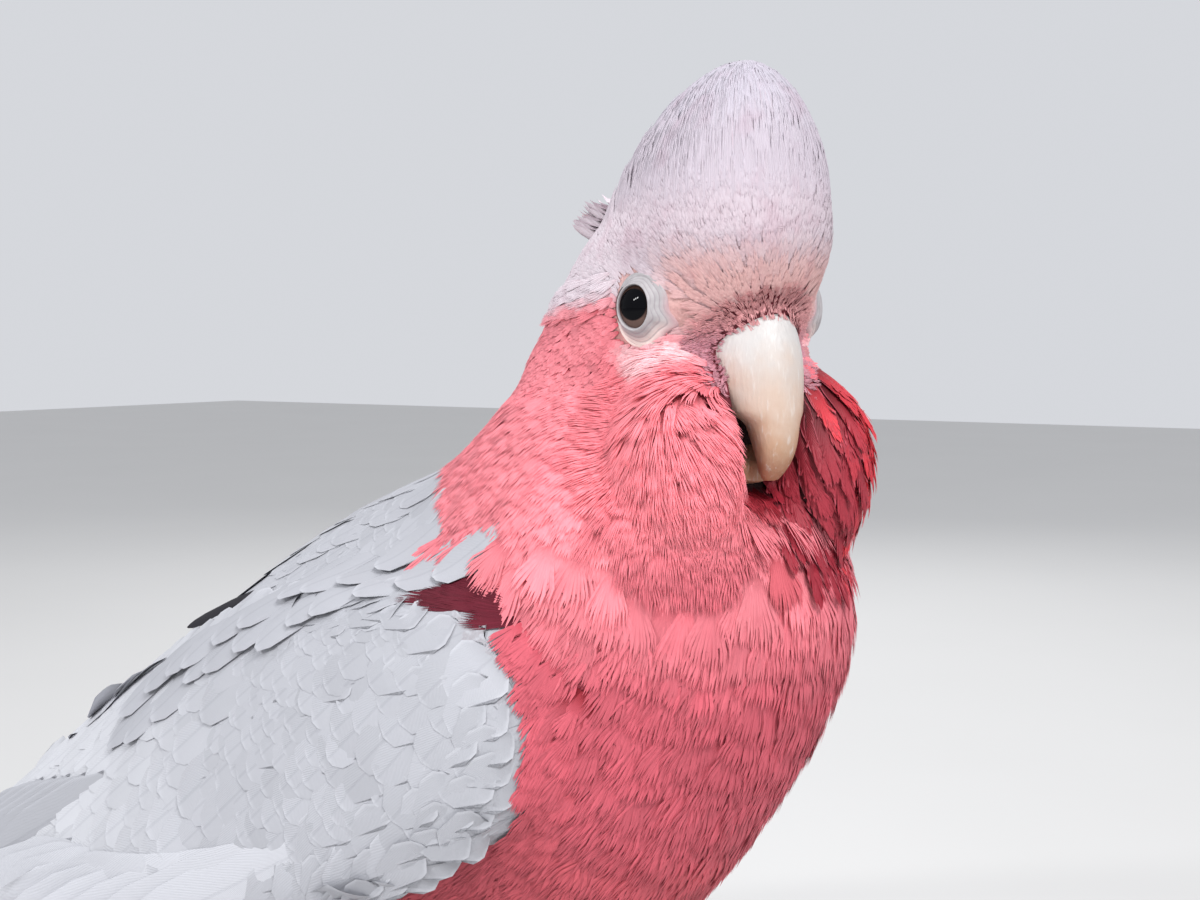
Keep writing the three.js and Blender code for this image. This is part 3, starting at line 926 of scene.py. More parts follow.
def barb_group():
    """Fine slanted barbs on both sides of a shaft, the shaft itself, and the feather's rim."""
    inputs = {"Along": "Float", "Across": "Float", "Count": "Float", "Slant": "Float"}
    outputs = {"Barbs": "Float", "Shaft": "Float", "Rim": "Float"}
    tree, w, given, made = shader_group("barbs and shaft", inputs, outputs)
    out = w.sum("ABSOLUTE", given["Across"])
    phase = w.sum("SUBTRACT", given["Along"], w.sum("MULTIPLY", out, given["Slant"]))
    turns = w.sum("MULTIPLY", w.sum("MULTIPLY", phase, given["Count"]), 2 * math.pi)
    wave = w.sum("MULTIPLY_ADD", w.sum("SINE", turns), 0.5, 0.5)
    w.put(made["Barbs"], wave)
    w.put(made["Shaft"], w.ramp(0.07, 0.03, out))
    end = w.sum("POWER", given["Along"], 5.0)
    reach = w.sum("MAXIMUM", w.sum("POWER", out, 3.0), end)
    w.put(made["Rim"], w.ramp(0.62, 0.95, reach))
    return tree


FEATHER_COLOUR = plumage_group()
BARBS = barb_group()


def new_material(name, roughness, **constants):
    """A material with a Principled shader whose plain numbers are set on its own sockets."""
    material = bpy.data.materials.new(name)
    material.use_nodes = True
    shader = material.node_tree.nodes["Principled BSDF"]
    shader.inputs["Roughness"].default_value = roughness
    for key, value in constants.items():
        shader.inputs[key.replace("_", " ")].default_value = value
    return material, Wires(material.node_tree), shader.inputs


def feather_inputs(w, reach, variation):
    """The colour of each feather, from the values on its own mesh."""
    outputs = w.use(
        FEATHER_COLOUR,
        Tip=w.colour_of("tint"),
        Root=w.colour_of("root"),
        Along=w.value_of("along"),
        Chance=w.value_of("chance"),
        Root_Reach=reach,
        Variation=variation,
    )
    return outputs["Color"]


def barb_marks(w, count, slant):
    return w.use(BARBS, Along=w.value_of("along"), Across=w.value_of("across"), Count=count, Slant=slant)


def plume_material(name, reach=0.6, variation=0.24, count=4.0, lines=0.35):
    """Soft plumage, with a line between barbs and slightly deeper clouds of colour."""
    material, w, shader = new_material(name, 0.65, Specular_IOR_Level=0.25)
    marks = barb_marks(w, count, 2.2)
    colour = feather_inputs(w, reach, variation)
    line = w.times(colour, (0.86, 0.78, 0.8, 1))
    cloud = w.noise(160, 2, w.place())
    colour = w.mix(w.sum("MULTIPLY", marks["Barbs"], lines), colour, line)
    colour = w.mix(w.ramp(0.5, 0.75, cloud), colour, w.times(colour, (0.95, 0.88, 0.9, 1)))
    w.put(shader["Base Color"], colour)
    w.put(shader["Normal"], w.bump(marks["Barbs"], 0.0001, 0.4))
    return material


def vane_material(name, count=34.0, rim=(0.62, 0.63, 0.67, 1), rim_share=0.3, reach=0.4, variation=0.07):
    """Stiff vanes, with fine barbs, a shaft and a rim of its own colour."""
    material, w, shader = new_material(name, 0.55, Specular_IOR_Level=0.3)
    marks = barb_marks(w, count, 0.35)
    colour = feather_inputs(w, reach, variation)
    colour = w.mix(w.sum("MULTIPLY", marks["Rim"], rim_share), colour, rim)
    dark = w.times(colour, (0.72, 0.72, 0.74, 1))
    colour = w.mix(w.sum("MULTIPLY", marks["Barbs"], 0.16), colour, dark)
    colour = w.mix(w.sum("MULTIPLY", marks["Shaft"], 0.3), colour, dark)
    w.put(shader["Base Color"], colour)
    w.put(shader["Normal"], w.bump(marks["Barbs"], 0.00008, 0.4))
    return material


def skin_material():
    material, w, shader = new_material("skin_under_feathers", 0.75)
    cloud = w.noise(900, 3, w.place())
    dark = w.times(w.colour_of("root"), (0.78, 0.74, 0.74, 1))
    w.put(shader["Base Color"], w.mix(w.ramp(0.35, 0.7, cloud), dark, w.colour_of("root")))
    w.put(shader["Normal"], w.bump(cloud, 0.0003))
    return material


# ---- Skin pieces -------------------------------------------------------------------------------
TRUNK_NODES = ["trunk", "neck", "head", "crest"]
TRUNK_NODES += [f"{part}_{word}" for part in ("cheek", "thigh") for word in SIDES]
FILLING_NODES = ["bill_upper"]
FILLING_NODES += [f"{part}_{word}" for part in ("eye", "eye_ring") for word in SIDES]


def skin_markings(places):
    """The coat's colours, but maroon at the bill, dark crimson as painted shade in the left cheek and dark
    in the mouth.
    """
    tint, root = plumage(places)
    ahead, left, up = head.read(places).T
    near_bill = ramp(11.5, 8.5, np.hypot((ahead - 18) * 0.8, left)) * ramp(7, 3, up) * (ahead > 5)
    root = blend(root, COLOUR["bristle_root"], near_bill)
    # Painted shade: the skin of the left cheek's inner face, which looks across the bill, is dark crimson.
    inner_cheek_shade = ramp(15, 10, left) * (left > 1.5) * (ahead > 8)
    inner_cheek_shade = inner_cheek_shade * ramp(-5, -9, up) * (up > -40)
    root = blend(root, COLOUR["crimson_shade"], inner_cheek_shade)
    from_eye = np.linalg.norm(np.stack([ahead - EYE_AHEAD, np.abs(left) - 14.4, up], 1), axis=1)
    root = blend(root, COLOUR["forehead"], ramp(12, 9, from_eye) * 0.8)
    mouth = between(5, ahead, 17) & (np.abs(left) < 6.5) & between(-31, up, -16)
    return tint, blend(root, COLOUR["mouth"], mouth)


def mark_skin(piece, markings=skin_markings):
    """Gives a skin the same colours as the coat over it."""
    places = read_mesh(piece.data)[0]
    tint, root = markings(places)
    add_colours(piece.data, tint=tint, root=root)
    piece.data.materials.append(SKIN_MATERIAL)
    shade_smooth(piece.data)


def all_grey(places):
    grey = np.tile(COLOUR["mantle"], (len(places), 1))
    return grey, grey


SKIN_MATERIAL = skin_material()


def open_mouth(piece):
    """Pushes the skin back behind the tip of the bill, to the corner of the mouth."""
    h = head.read(read_mesh(piece.data)[0])
    behind = ramp(7.5, 6, np.abs(h[:, 1])) * ramp(-13.5, -16, h[:, 2]) * ramp(-34, -31.5, h[:, 2])
    h[:, 0] -= np.maximum(0, h[:, 0] - 11) * 0.9 * behind
    move_points(piece, head.place(h))


def make_skin():
    """The skin of the head, neck, trunk and thighs."""
    piece = smooth_body("skin", TRUNK_NODES + FILLING_NODES, 1.3 * MM, 14)
    draw_in(piece, coat_depth)
    open_mouth(piece)
    mark_skin(piece)
    finish(piece, "rose_feathers", *TRUNK_NODES)
    return Surface(piece)


def wing_depth(places):
    return np.full(len(places), COAT_DEPTH["wing"] * MM)


def make_wing_skin(word):
    nodes = [f"wing_coverts_{word}", f"wing_flight_{word}"]
    piece = smooth_body(f"wing_skin_{word}", nodes, 1.3 * MM, 8)
    draw_in(piece, wing_depth)
    mark_skin(piece, all_grey)
    finish(piece, "grey_feathers", *nodes)
    return Surface(piece)


CLOAK_SWELL = 2.2  # how far the cloak's solids swell before they are smoothed, in millimetres


def make_cloak():
    """The trunk with its folded wings, smoothed over, which the outer grey feathers lie on."""
    wings = [f"wing_{part}_{word}" for part in ("coverts", "flight") for word in SIDES]
    piece = smooth_body("cloak", ["trunk", "neck", "head"] + wings, 1.8 * MM, 12, swell=CLOAK_SWELL * MM)
    places, normals, _ = read_mesh(piece.data)
    move_points(piece, places - normals * (CLOAK_SWELL + COAT_DEPTH["wing"]) * MM)
    surface = Surface(piece)
    bpy.data.objects.remove(piece)
    return surface


skin = make_skin()
wing_skins = {word: make_wing_skin(word) for word in SIDES}
cloak = make_cloak()


# ---- Bill --------------------------------------------------------------------------------------
def refined(node, levels, name):
    """A node's solid with rounded facets."""
    bm = bmesh.new()
    bm.from_mesh(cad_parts[node].data)
    bmesh.ops.remove_doubles(bm, verts=bm.verts, dist=1e-6)
    mesh = bpy.data.meshes.new(name)
    bm.to_mesh(mesh)
    bm.free()
    piece = new_piece(name, mesh)
    modifier = piece.modifiers.new("round", "SUBSURF")
    modifier.levels = modifier.render_levels = levels
    keep_modifiers(piece)
    shade_smooth(piece.data)
    return piece


def horn_material():
    material, w, shader = new_material("bill_horn", 0.42)
    streaks = w.streaks(1400, 4, (1, 1, 0.22))
    cloud = w.noise(260, 3, w.place())
    uneven = w.sum("MULTIPLY_ADD", w.sum("SUBTRACT", cloud, 0.5), 0.35, w.value_of("down"))
    colour = w.mix(w.ramp(0.15, 0.6, uneven), (0.52, 0.50, 0.49, 1), (0.54, 0.42, 0.35, 1))
    colour = w.mix(w.ramp(0.5, 0.85, uneven), colour, (0.46, 0.28, 0.18, 1))
    colour = w.mix(w.ramp(0.82, 1.0, uneven), colour, (0.38, 0.18, 0.10, 1))
    pale = w.mix(w.ramp(0.55, 0.75, streaks), colour, (0.66, 0.64, 0.62, 1))
    w.put(shader["Base Color"], w.mix(0.4, colour, pale))
    w.put(shader["Roughness"], w.ramp(-0.6, 1.6, streaks))
    w.put(shader["Normal"], w.bump(streaks, 0.0003, 0.5))
    return material


HORN = horn_material()


# The upper bill's front and back edges at some heights, in millimetres from the head's middle
BILL_UP = (-30, -28, -26, -22, -18, -14, -10)
BILL_FRONT = (16.4, 17.4, 18.2, 20.5, 21.7, 22, 22)
BILL_BACK = (14, 12.9, 12.6, 12, 11.1, 9.1, 7)
LOWER_BILL_FORWARD = 4.3  # the lower bill shows beside the tip of the upper one
LOWER_BILL_TOP = -22.8
LOWER_SOLID_TOP = -19.5
LOWER_BILL_HEIGHT = 0.75  # share of the solid's own height


def notched(h):
    """The upper bill, narrower behind its ridge below the notch, with its tip brought forward."""
    ahead, left, up = h.T
    back, front = (np.interp(up, BILL_UP, edge) for edge in (BILL_BACK, BILL_FRONT))
    behind = 1 - np.clip((ahead - back) / (front - back), 0, 1)
    below = ramp(-17.5, -20.5, up)
    narrow = 1 - (0.08 + 0.42 * behind) * below
    return np.stack([ahead + 3.2 * ramp(-12, -29, up), left * narrow, up], 1)


def make_bill(node):
    """One half of the bill, with how far down its colour runs from ivory to tan."""
    piece = refined(node, 3, node + "_horn")
    h = head.read(read_mesh(piece.data)[0])
    if node == "bill_upper":
        h = notched(h)
        down = (2 - h[:, 2]) / 31.5
    else:
        up = LOWER_BILL_TOP + (h[:, 2] - LOWER_SOLID_TOP) * LOWER_BILL_HEIGHT
        h = np.stack([h[:, 0] + LOWER_BILL_FORWARD, h[:, 1], up], 1)
        down = 0.92 + 0 * h[:, 2]
    move_points(piece, head.place(h))
    add_values(piece.data, down=down)
    finish_node(piece, node, HORN, "bill_horn")
    return Surface(piece)


HARD = [make_bill(node) for node in ("bill_upper", "bill_lower")]


def clearance(places):
    """Least signed distance to the bill, in metres. It is below 0 inside."""
    out = np.full(len(places), 1.0)
    for shell in HARD:
        apart = np.linalg.norm(places - shell.nearest(places)[0], axis=1)
        out = np.minimum(out, np.where(shell.holds(places), -apart, apart))
    return out


def under_wing(places):
    """True where a wing covers the trunk."""
    on, normal = skin.nearest(places)
    covered = np.full(len(places), False)
    for surface in wing_skins.values():
        found = [surface.tree.ray_cast(Vector(p), Vector(n), 14 * MM) for p, n in zip(on, normal)]
        covered |= np.array([f[0] is not None for f in found])
    return covered


# ---- Places kept clear of feathers -------------------------------------------------------------
EYE_TOE_IN = math.radians(26)
EYE_RADIUS = 6.2
OPENING = (2.9, 3.65)  # half width and half height of the eye that shows


class EyeAxes:
    """An eye's middle, with axes to the front, up and out of the head."""

    def __init__(self, word):
        side = SIDES[word]
        self.middle = eyes[word]
        self.out = head.heading((math.sin(EYE_TOE_IN), side * math.cos(EYE_TOE_IN), 0))
        self.front = head.heading((math.cos(EYE_TOE_IN), -side * math.sin(EYE_TOE_IN), 0))
        self.turn = np.array([self.front, UP, self.out])

    def place(self, front, up, out):
        return self.middle + np.stack([front, up, out], -1) @ self.turn * MM

    def read(self, places):
        return (places - self.middle) @ self.turn.T / MM


def lid_reach(turn):
    """How far the bare skin runs from the eye's middle, by direction, in millimetres."""
    front, up = np.cos(turn), np.sin(turn)
    above, below = np.maximum(0, up) ** 1.5, np.maximum(0, -up) ** 1.5
    lore = np.exp(-(((np.arctan2(up, front) + 0.42) / 0.2) ** 2))
    return 4.6 + 1.5 * above + 3.0 * below + 1.9 * np.maximum(0, front) ** 2 + 1.4 * lore


def outside_lids(places, margin):
    """True for places further out than the bare skin's edge less a margin in millimetres."""
    clear = np.full(len(places), True)
    for word in SIDES:
        e = EyeAxes(word).read(places)
        over = np.hypot(e[:, 0], e[:, 1]) < lid_reach(np.arctan2(e[:, 1], e[:, 0])) - margin
        clear &= ~(over & (e[:, 2] > 0))
    return clear


def over_bill(places):
    """True for places in front of the bill or in the gap of the mouth."""
    ahead, left, up = head.read(places).T
    face = np.interp(up, (-30, -20, -10, 2), (13.5, 15, 18.5, 22))
    over = (ahead > face) & (np.abs(left) < 7.2) & between(-33, up, -6)
    by_mouth = (ahead > 9.5) & (np.abs(left) < 5.5) & between(-30, up, -18)
    return over | by_mouth


def by_bill(places):
    ahead, _, up = head.read(places).T
    return (clearance(places) < 3.2 * MM) & (up > -14) & (ahead > 6)


def beside_bill(places):
    return by_bill(places) & (clearance(places) < 2.0 * MM)


def against_lie(places):
    return -lie(places)


# ---- Soft plumage ------------------------------------------------------------------------------
def soft_tract(
    name, where, gap, length, half, lift, seed,
    spread=0.1, cling=0.9, slot="rose_feathers", material=None, make=soft_feathers, dye=None, flow=lie,
    bite=0.2, surface=skin, steady=-1.0, sample=2, most=None, **form,
):
    """Covers one tract of the trunk or head with feathers. Sizes are in millimetres.

    sample is which of a spine's points the colours are taken at, and most gives the longest that
    a feather may be at a place.
    """
    rng = np.random.default_rng(seed)
    roots = surface.scatter(rng, where, gap * MM)
    roots = roots[outside_lids(roots, 1.2) & (clearance(roots) > 0)]
    if surface is skin:
        roots = roots[~under_wing(roots)]
    ways = unit(flow(roots) + rng.normal(0, spread, roots.shape))
    lengths = rng.uniform(*length, len(roots)) * MM
    if most:
        lengths = np.minimum(lengths, most(roots))
    spines = trace(surface, roots, ways, lengths, follow=flow, cling=cling)
    tips = spines.points[:, -1] + spines.normals[:, -1] * lift * MM
    middles = spines.points[:, 2] + spines.normals[:, 2] * lift * MM * 0.6
    free = outside_lids(tips, 0.7) & outside_lids(middles, 0.7)
    free &= (np.minimum(clearance(tips), clearance(middles)) > -bite * MM) & ~over_bill(tips)
    free &= steadiness(spines) > steady
    roots = roots[free]
    spines = spines.only(free)
    tint, root = plumage(spines.points[:, sample])
    if dye:
        tint, root = dye(tint, root, spines)
    halves = rng.uniform(0.85, 1.15, len(roots)) * half * MM
    lifts = rng.uniform(0.88, 1.12, len(roots)) * lift * MM
    coat = Coat()
    chance = rng.random((len(roots), 1))
    values = dict(chance=chance, tint=tint[:, None], root=root[:, None], home=roots[:, None])
    make(coat, rng, spines, halves, lifts, **values, **form)
    finish(coat.make(name, around_body, material or PLUME_MATERIAL), slot)


PLUME_MATERIAL = plume_material("rose_plumes")
PALE_MATERIAL = plume_material("pale_plumes", reach=0.6, variation=0.04, count=2.4, lines=0.35)
CURTAIN_MATERIAL = vane_material(
    "crimson_vanes", count=14, rim=(0.62, 0.12, 0.16, 1), rim_share=0.6, reach=0.8,
)


def shaded_cheek_down(tint, root, spines):
    """Painted shade: the down under the loose cheek feathers, darkened part way to its root colour, and
    crimson on the left cheek's inner face.
    """
    share = towards_bill(spines.normals[:, 0]) * is_left(spines.points[:, 0])
    tint = blend(tint, root, np.full(len(tint), 0.35))
    return blend(tint, COLOUR["crimson"] * 0.7, share), blend(root, COLOUR["crimson_shade"], share)


def bristly(tint, root, spines):
    """Salmon bristles with maroon roots, turning lilac at the gape."""
    tint = blend(tint, COLOUR["bristle_tip"], np.full(len(tint), 0.6))
    gape = ramp(-2, -7, head_up(spines.points[:, 0]))
    return blend(tint, COLOUR["gape"], gape), 0 * root + COLOUR["bristle_root"]


def towards_bill(normals):
    """1 on the face of the left cheek that looks across the bill."""
    return ramp(0.0, 0.6, normals @ head.heading((0.8, -0.6, 0)))


def crimson(tint, root, spines):
    """Painted shade on the left cheek: dark crimson where it faces across the bill, brighter crimson at
    the cheek's edge and rose on its outer side.
    """
    facing = spines.normals[:, 0] @ head.heading((0.8, -0.6, 0))
    red = blend(COLOUR["crimson_edge"] + 0 * tint, COLOUR["crimson"], ramp(0.1, 0.7, facing))
    share = ramp(-0.45, 0.0, facing)
    return blend(tint, red, share * 0.9), blend(root, COLOUR["crimson_shade"], share)


def always(direction):
    """A lie that points one way everywhere, given as (ahead, left, up)."""

    def way(places):
        return np.tile(head.heading(direction), (len(places), 1))

    return way


hang = always((0.3, 0.16, -1))  # long cheek feathers hang down and a little forward and out
rising = always((-0.12, 0, 1))  # the crest's feathers run up it on every side and lean back
backward = always((-0.95, 0, -0.3))


def is_left(places):
    return head.read(places)[:, 1] > 2


def on_curtain(places):
    return is_left(places) & on_cheek(places) & between(-38, head_up(places), -9)


def on_cheek_down(places):
    """The cheeks, but for the left one's inner face."""
    inner = on_curtain(places) & (towards_bill(skin.nearest(places)[1]) > 0.3)
    return on_cheek(places) & ~inner


def on_loose_cheek(places):
    return on_cheek(places) & ~is_left(places)


def way_to_tip(places):
    """How far it is up to the crest's tip, so that feathers don't run over it."""
    return np.maximum(3.5, (47 - head_up(places)) * 1.05) * MM


def on_tiers(places):
    """The three steps up the back of the crest."""
    ahead, _, up = head.read(places).T
    return (between(12, up, 15.5) | between(19, up, 22) | between(26, up, 29)) & (ahead < 1)


def on_beard(places):
    """The lower rim of each cheek, whose feathers hang clear of the breast."""
    return on_cheek(places) & between(-41, head_up(places), -33) & (head.read(places)[:, 0] > -2)


def on_brow(places):
    """The hood's lower edge behind the eye."""
    ahead, left, _ = head.read(places).T
    return between(-0.5, hood_side(places), 4.5) & between(-22, ahead, 1) & (np.abs(left) > 9)


# How far forward the folded wing's front edge lies at some heights
WING_FRONT_UP = (88, 93.5, 103, 120, 128, 134)
WING_FRONT = (33, 44, 49, 51, 50, 44)


def by_wing_front(places):
    """The strip of breast just in front of the folded wing's edge."""
    forward, beside, high = body.read(places).T
    edge = np.interp(high, WING_FRONT_UP, WING_FRONT)
    return between(edge + 0.5, forward, edge + 6) & between(96, high, 134) & (np.abs(beside) > 22)


HAIR = dict(make=fringe, rings=2, fan=0.5, ragged=0.2, loose=0.3, fill=1.8, ridge=0.12, bite=0.8)
CROWN = dict(slot="crown_feathers", material=PALE_MATERIAL)
CREST = dict(make=webs, columns=2, rows=5, camber=0.12, roundness=0.9, ragged=0.02, thick=0.14 * MM)
RISING = dict(flow=rising, steady=0.3, most=way_to_tip)
soft_tract(
    "coat_crest", on_crest, 1.05, (12, 18), 1.25, 0.75, 11, cling=0.97, spread=0.03,
    **CROWN, **CREST, **RISING,
)
soft_tract(
    "crest_tiers", on_tiers, 1.3, (9, 13), 1.5, 1.0, 25, cling=0.72, spread=0.1,
    **CROWN, **CREST, **RISING,
)
soft_tract("coat_crown", on_crown, 0.8, (4.5, 7.5), 0.74, 0.42, 12, barbs=5, spread=0.06, **CROWN, **HAIR)
soft_tract("coat_face", on_face, 0.8, (3.6, 6), 0.74, 0.55, 13, barbs=5, spread=0.08, **HAIR)
soft_tract(
    "coat_brow", on_brow, 1.2, (6, 9), 0.9, 1.5, 22,
    make=fringe, barbs=6, rings=3, fill=1.3, cling=0.75, flow=backward, **CROWN,
)
soft_tract(
    "coat_bristles", by_bill, 0.43, (1.4, 3.0), 0.4, 0.9, 21,
    make=fringe, barbs=3, rings=2, fill=0.6, loose=1.0, cling=0.6, spread=0.35, dye=bristly, bite=1.6,
)
soft_tract(
    "bristles_over_bill", beside_bill, 0.6, (1.2, 2.2), 0.4, 0.8, 27, flow=against_lie,
    make=fringe, barbs=3, rings=2, fill=0.6, loose=1.0, cling=0.4, spread=0.35, dye=bristly, bite=0.1,
)
# The cheek down's colours carry painted shade from its dye.
soft_tract(
    "coat_cheek_down", on_cheek_down, 1.5, (5, 7), 1.7, 0.9, 14, barbs=8, dye=shaded_cheek_down, bite=1.0, ridge=0.2,
)
soft_tract(
    "coat_cheeks", on_loose_cheek, 0.92, (5.5, 9), 1.15, 1.9, 15,
    make=fringe, barbs=7, rings=3, fill=0.8, loose=0.9, cling=0.45, spread=0.14, bite=0.8, steady=0.1,
)
soft_tract(
    "cheek_beard", on_beard, 1.9, (10, 14), 2.0, 1.6, 26,
    make=fringe, barbs=11, rings=3, fill=0.9, fan=0.9, ragged=0.12, loose=0.6, cling=0.1, spread=0.12,
)
# The curtain's reds carry painted shade from its dye.
soft_tract(
    "coat_cheek_curtain", on_curtain, 1.7, (12, 20), 1.6, 1.8, 23, material=CURTAIN_MATERIAL,
    web=0.95, columns=4, rows=7, barbs=9, fan=1.1, ragged=0.14, loose=0.5, ridge=0.2, comb=0.55,
    cling=0.45, spread=0.13, flow=hang, dye=crimson, bite=0.8, steady=0.2,
)
soft_tract(
    "coat_neck", on_neck, 1.3, (7, 10), 1.5, 0.9, 16, barbs=9, spread=0.07, sample=0,
    make=fringe, rings=2, fan=0.6, ragged=0.1, loose=0.35, fill=1.3, ridge=0.2,
)
BREAST = dict(web=0.8, columns=4, rows=6, comb=0.3, ragged=0.05, fill=1.5, ridge=0.15)
soft_tract(
    "coat_breast", on_breast, 3.1, (15, 20), 4.4, 1.9, 17, barbs=24, spread=0.06, sample=0, **BREAST,
)
soft_tract("coat_belly", on_belly, 3.6, (15, 20), 5.0, 2.0, 18, barbs=20, spread=0.08, **BREAST)
soft_tract("coat_thighs", on_thigh, 1.9, (5, 8), 2.0, 1.4, 19, barbs=9)
soft_tract("coat_vent", on_vent, 3.0, (13, 18), 4.0, 2.2, 20, slot="grey_feathers", material=PALE_MATERIAL)
soft_tract(
    "coat_breast_edge", by_wing_front, 1.8, (10, 14), 2.2, 1.1, 24, surface=cloak, cling=0.9,
    barbs=13, ridge=0.2, comb=0.3,
)


# ---- Stiff plumage of the back, wings and tail -------------------------------------------------
# The folded wing's lower and upper edges along the body, in millimetres
WING_FORWARD = (-170, -160, -140, -120, -100, -80, -60, -40, -20, 0, 15, 30, 40, 48)
WING_LOW = (41, 42, 46, 50.5, 54.7, 57, 59, 61.6, 65.4, 71.3, 77, 84.7, 92, 107)
WING_HIGH = (44, 51, 64, 77, 91, 103.5, 114, 123, 130, 134.6, 136, 134.7, 131, 116)


def wing_low(forward):
    return np.interp(forward, WING_FORWARD, WING_LOW)


def wing_high(forward):
    return np.interp(forward, WING_FORWARD, WING_HIGH)


def wing_lie(places):
    """Back and down over the folded wing, round its front edge from within."""
    forward, beside, _ = body.read(places).T
    pitch = np.radians(np.interp(forward, (-170, -110, -60, 0, 45), (22, 32, 40, 46, 50)))
    round_edge = ramp(0.15, 0.8, cloak.nearest(places)[1] @ body.ahead) * np.sign(beside) * 1.6
    return body.heading(np.stack([-np.cos(pitch), round_edge, -np.sin(pitch)], 1))


def wing_top(forward):
    """Height of the folded wing's upper edge, where the back's feathers end."""
    return np.interp(forward, (-170, -100, -45, 0, 30, 50), (44, 88, 116, 136, 139, 128))


def faces_out(surface, places, least):
    """True where a surface looks sideways, away from the bird's middle."""
    side = np.sign(body.read(places)[:, 1])
    return surface.nearest(places)[1] @ body.left * side > least


def on_wing(places):
    forward, beside, high = body.read(places).T
    side_on = faces_out(cloak, places, -0.1) & over_wing(places)
    return (np.abs(beside) > 8) & (high < wing_top(forward) + 2) & (forward < 54) & side_on


def over_wing(places):
    """True where the cloak lies over a wing, and not over the trunk."""
    near = np.full(len(places), 1.0)
    for surface in wing_skins.values():
        near = np.minimum(near, np.linalg.norm(surface.nearest(places)[0] - places, axis=1))
    return near < 3.4 * MM


def along_wing(front, back):
    """A test for places on the wings between two distances forward."""

    def where(places):
        return between(back, body.read(places)[:, 0], front) & on_wing(places)

    return where


def on_shell(shell):
    """A test for places on the outer face of one wing's skin."""

    def where(places):
        return between(-130, body.read(places)[:, 0], 48) & faces_out(shell, places, 0.1)

    return where


def on_outer_face(spines):
    """True for feathers that end on a wing's outer face, clear of the flight feathers' edge."""
    forward, beside, high = body.read(spines.points[:, -1]).T
    band = np.interp(forward, (-170, -120, -60, -20, 20), (5, 8, 11, 7, 0.5))
    outward = (spines.normals @ body.left * np.sign(beside)[:, None]).min(axis=1)
    return (high > wing_low(forward) + band) & (outward > -0.12)


def on_cloak_back(front, back):
    """A test for places on the grey back, between the wings and two distances forward."""

    def where(places):
        forward, beside, high = body.read(places).T
        above = (high > wing_top(forward) - 6) & (high > 60) & (high > 110 + 0.62 * forward)
        return between(back, forward, front) & (forward < cloak_edge(beside) + 2) & above

    return where


def lies_flat(spines):
    """True for feathers that don't fold over an edge."""
    bend = (spines.normals[:, 1:] * spines.normals[:, :-1]).sum(axis=2).min(axis=1)
    return (bend > 0.8) & (steadiness(spines) > 0.45)


def vane_tract(
    name, where, gap, length, half, lift, seed, ways=lie, fits=None, surface=cloak, **form,
):
    """Covers one tract of a surface with stiff grey feathers. Sizes are in millimetres."""
    rng = np.random.default_rng(seed)
    roots = surface.scatter(rng, where, gap * MM)
    aim = unit(ways(roots) + rng.normal(0, 0.06, roots.shape))
    lengths = rng.uniform(*length, len(roots)) * MM
    spines = trace(surface, roots, aim, lengths, follow=ways)
    kept = lies_flat(spines)
    if fits:
        kept &= fits(spines)
    spines = spines.only(kept)
    count = len(spines.points)
    back = ramp(0, -100, body.read(spines.points[:, 2])[:, 0])
    grey = blend(COLOUR["mantle"] + 0 * spines.points[:, 0], COLOUR["rump"], back)[:, None]
    grey = grey * rng.uniform(0.95, 1.05, (count, 1, 1))
    values = dict(tint=grey, root=np.tile(COLOUR["grey_root"], (count, 1, 1)), home=spines.points[:, :1])
    halves = rng.uniform(0.9, 1.1, count) * half * MM
    lifts = rng.uniform(0.92, 1.08, count) * lift * MM
    coat = Coat()
    webs(coat, rng, spines, halves, lifts, chance=rng.random((count, 1)), **values, **form)
    finish(coat.make(name, beside_wing, VANE_MATERIAL), "grey_feathers")


VANE_MATERIAL = vane_material("grey_vanes")
FLIGHT_MATERIAL = vane_material(
    "flight_vanes", count=60, rim=(0.55, 0.56, 0.6, 1), rim_share=0.35, reach=0.2,
)

STIFF = dict(columns=6, rows=7, camber=0.05, roundness=0.6, ragged=0.008, thick=0.16 * MM)
vane_tract("coat_mantle", on_cloak_back(44, -30), 3.0, (11, 16), 5.2, 0.6, 31, **STIFF)
vane_tract("coat_back", on_cloak_back(-15, -112), 4.4, (20, 28), 6.4, 0.9, 32, **STIFF)
WING = dict(ways=wing_lie, fits=on_outer_face)
BASE = dict(columns=4, rows=4, camber=0.05, roundness=0.6, ragged=0.0, thick=0.16 * MM)
for seed, side_word in enumerate(SIDES, 41):
    shell = wing_skins[side_word]
    vane_tract(
        f"wing_base_{side_word}", on_shell(shell), 4.4, (9, 12), 5.6, 0.3, seed,
        surface=shell, **WING, **BASE,
    )
vane_tract("wing_lesser", along_wing(54, 16), 2.1, (7, 10), 3.4, 0.45, 33, **WING, **STIFF)
vane_tract("wing_median", along_wing(24, -25), 3.2, (12, 16), 5.4, 0.65, 34, **WING, **STIFF)
vane_tract("wing_greater", along_wing(-12, -65), 4.6, (20, 25), 7.4, 1.1, 35, **WING, **STIFF)
vane_tract("wing_tertials", along_wing(-48, -125), 5.4, (28, 36), 7.0, 1.3, 36, **WING, **STIFF)


